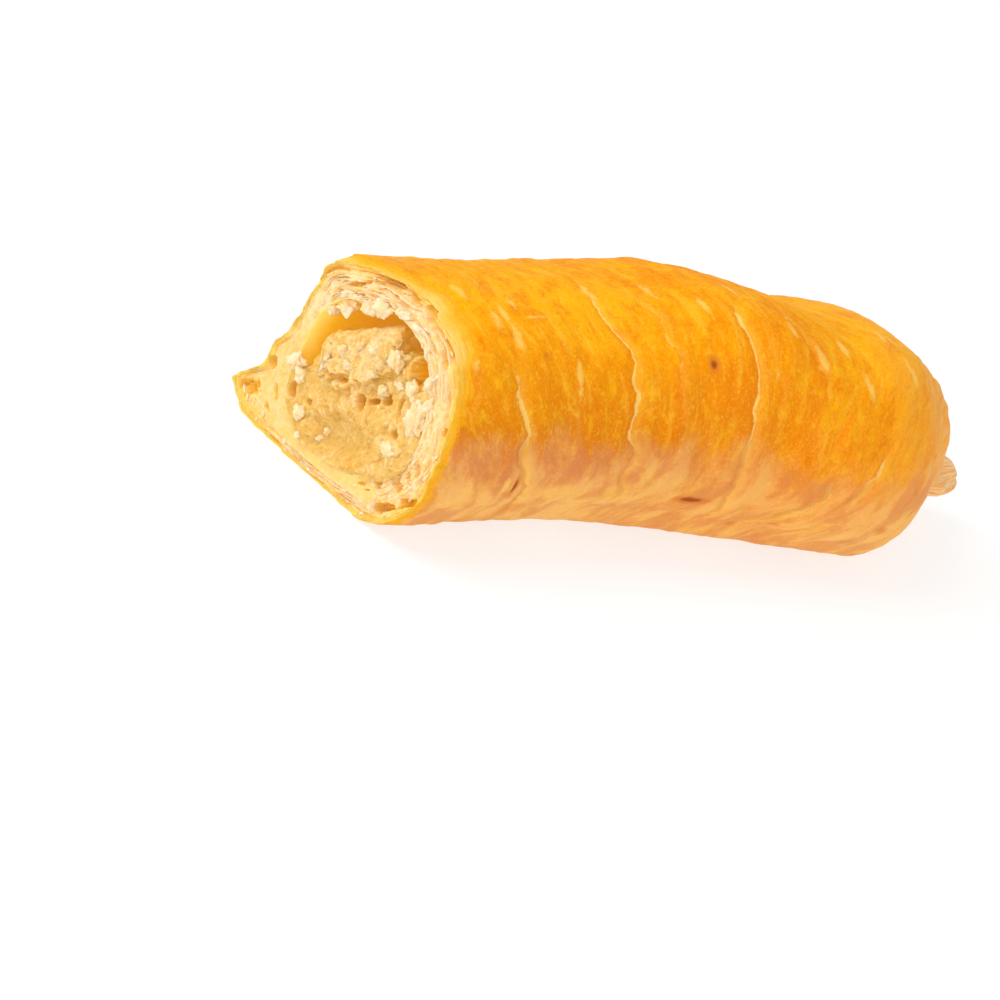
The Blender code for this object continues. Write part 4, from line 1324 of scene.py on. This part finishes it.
# ================================================================ stage
def make_floor():
    """A plain pale floor."""
    corners = np.array([(-1, -1, 0), (1, -1, 0), (1, 1, 0), (-1, 1, 0)])
    points = corners * FLOOR_HALF / MILLIMETRE - STICK_SHIFT
    mesh = new_mesh("floor", points, [np.array([[0, 1, 2, 3]])])
    mesh.materials.append(Nodes("pale_floor").finish({
        "Base Color": FLOOR_COLOUR, "Roughness": 0.8, "Specular IOR Level": 0.1,
        "Emission Color": (1.0, 0.995, 0.99, 1.0), "Emission Strength": FLOOR_GLOW}))
    floor = bpy.data.objects.new("floor", mesh)
    bpy.context.scene.collection.objects.link(floor)


def camera_rotation():
    """The picture's right and up directions and the way back to the camera, as columns."""
    azimuth, elevation, roll = (math.radians(angle) for angle in CAMERA_ANGLES)
    tilt = Matrix.Rotation(math.pi / 2 - elevation, 3, "X")
    return Matrix.Rotation(azimuth, 3, "Z") @ tilt @ Matrix.Rotation(roll, 3, "Z")


def make_camera():
    """A camera that sees the mark at its pixel of the picture."""
    rotation = camera_rotation()
    across = (MARK_PIXEL[0] - PICTURE_SIDE / 2) / PICTURE_FOCUS
    upward = (PICTURE_SIDE / 2 - MARK_PIXEL[1]) / PICTURE_FOCUS
    mark = Vector(stick_to_world(np.array(MARK_PLACE)))
    place = mark + rotation @ Vector((-across, -upward, 1.0)) * CAMERA_DISTANCE
    data = bpy.data.cameras.new("camera")
    data.sensor_width = SENSOR_WIDTH
    data.lens = SENSOR_WIDTH * PICTURE_FOCUS / PICTURE_SIDE
    camera = bpy.data.objects.new("camera", data)
    camera.matrix_world = Matrix.Translation(place) @ rotation.to_4x4()
    bpy.context.scene.collection.objects.link(camera)
    bpy.context.scene.camera = camera


def make_lights():
    """Large soft lights that shine on the stick, and an even pale surround."""
    for name, direction, distance, size, power in LIGHTS:
        data = bpy.data.lights.new(name, "AREA")
        data.shape = "SQUARE"
        data.size = size
        data.energy = power
        light = bpy.data.objects.new(name, data)
        direction = (camera_rotation() @ Vector(direction)).normalized()
        light.location = direction * distance
        light.rotation_mode = "QUATERNION"
        light.rotation_quaternion = direction.to_track_quat("Z", "Y")
        bpy.context.scene.collection.objects.link(light)
    world = bpy.data.worlds.new("surround")
    world.use_nodes = True
    background = world.node_tree.nodes["Background"]
    background.inputs["Color"].default_value = SURROUND_COLOUR
    background.inputs["Strength"].default_value = SURROUND_STRENGTH
    bpy.context.scene.world = world
    bpy.context.scene.view_settings.view_transform = "Standard"


# ================================================================ all of it
make_camera()
make_lights()
make_floor()
make_crust()
make_crumb()
make_sheets()
make_filling()
make_almonds()
make_dough()
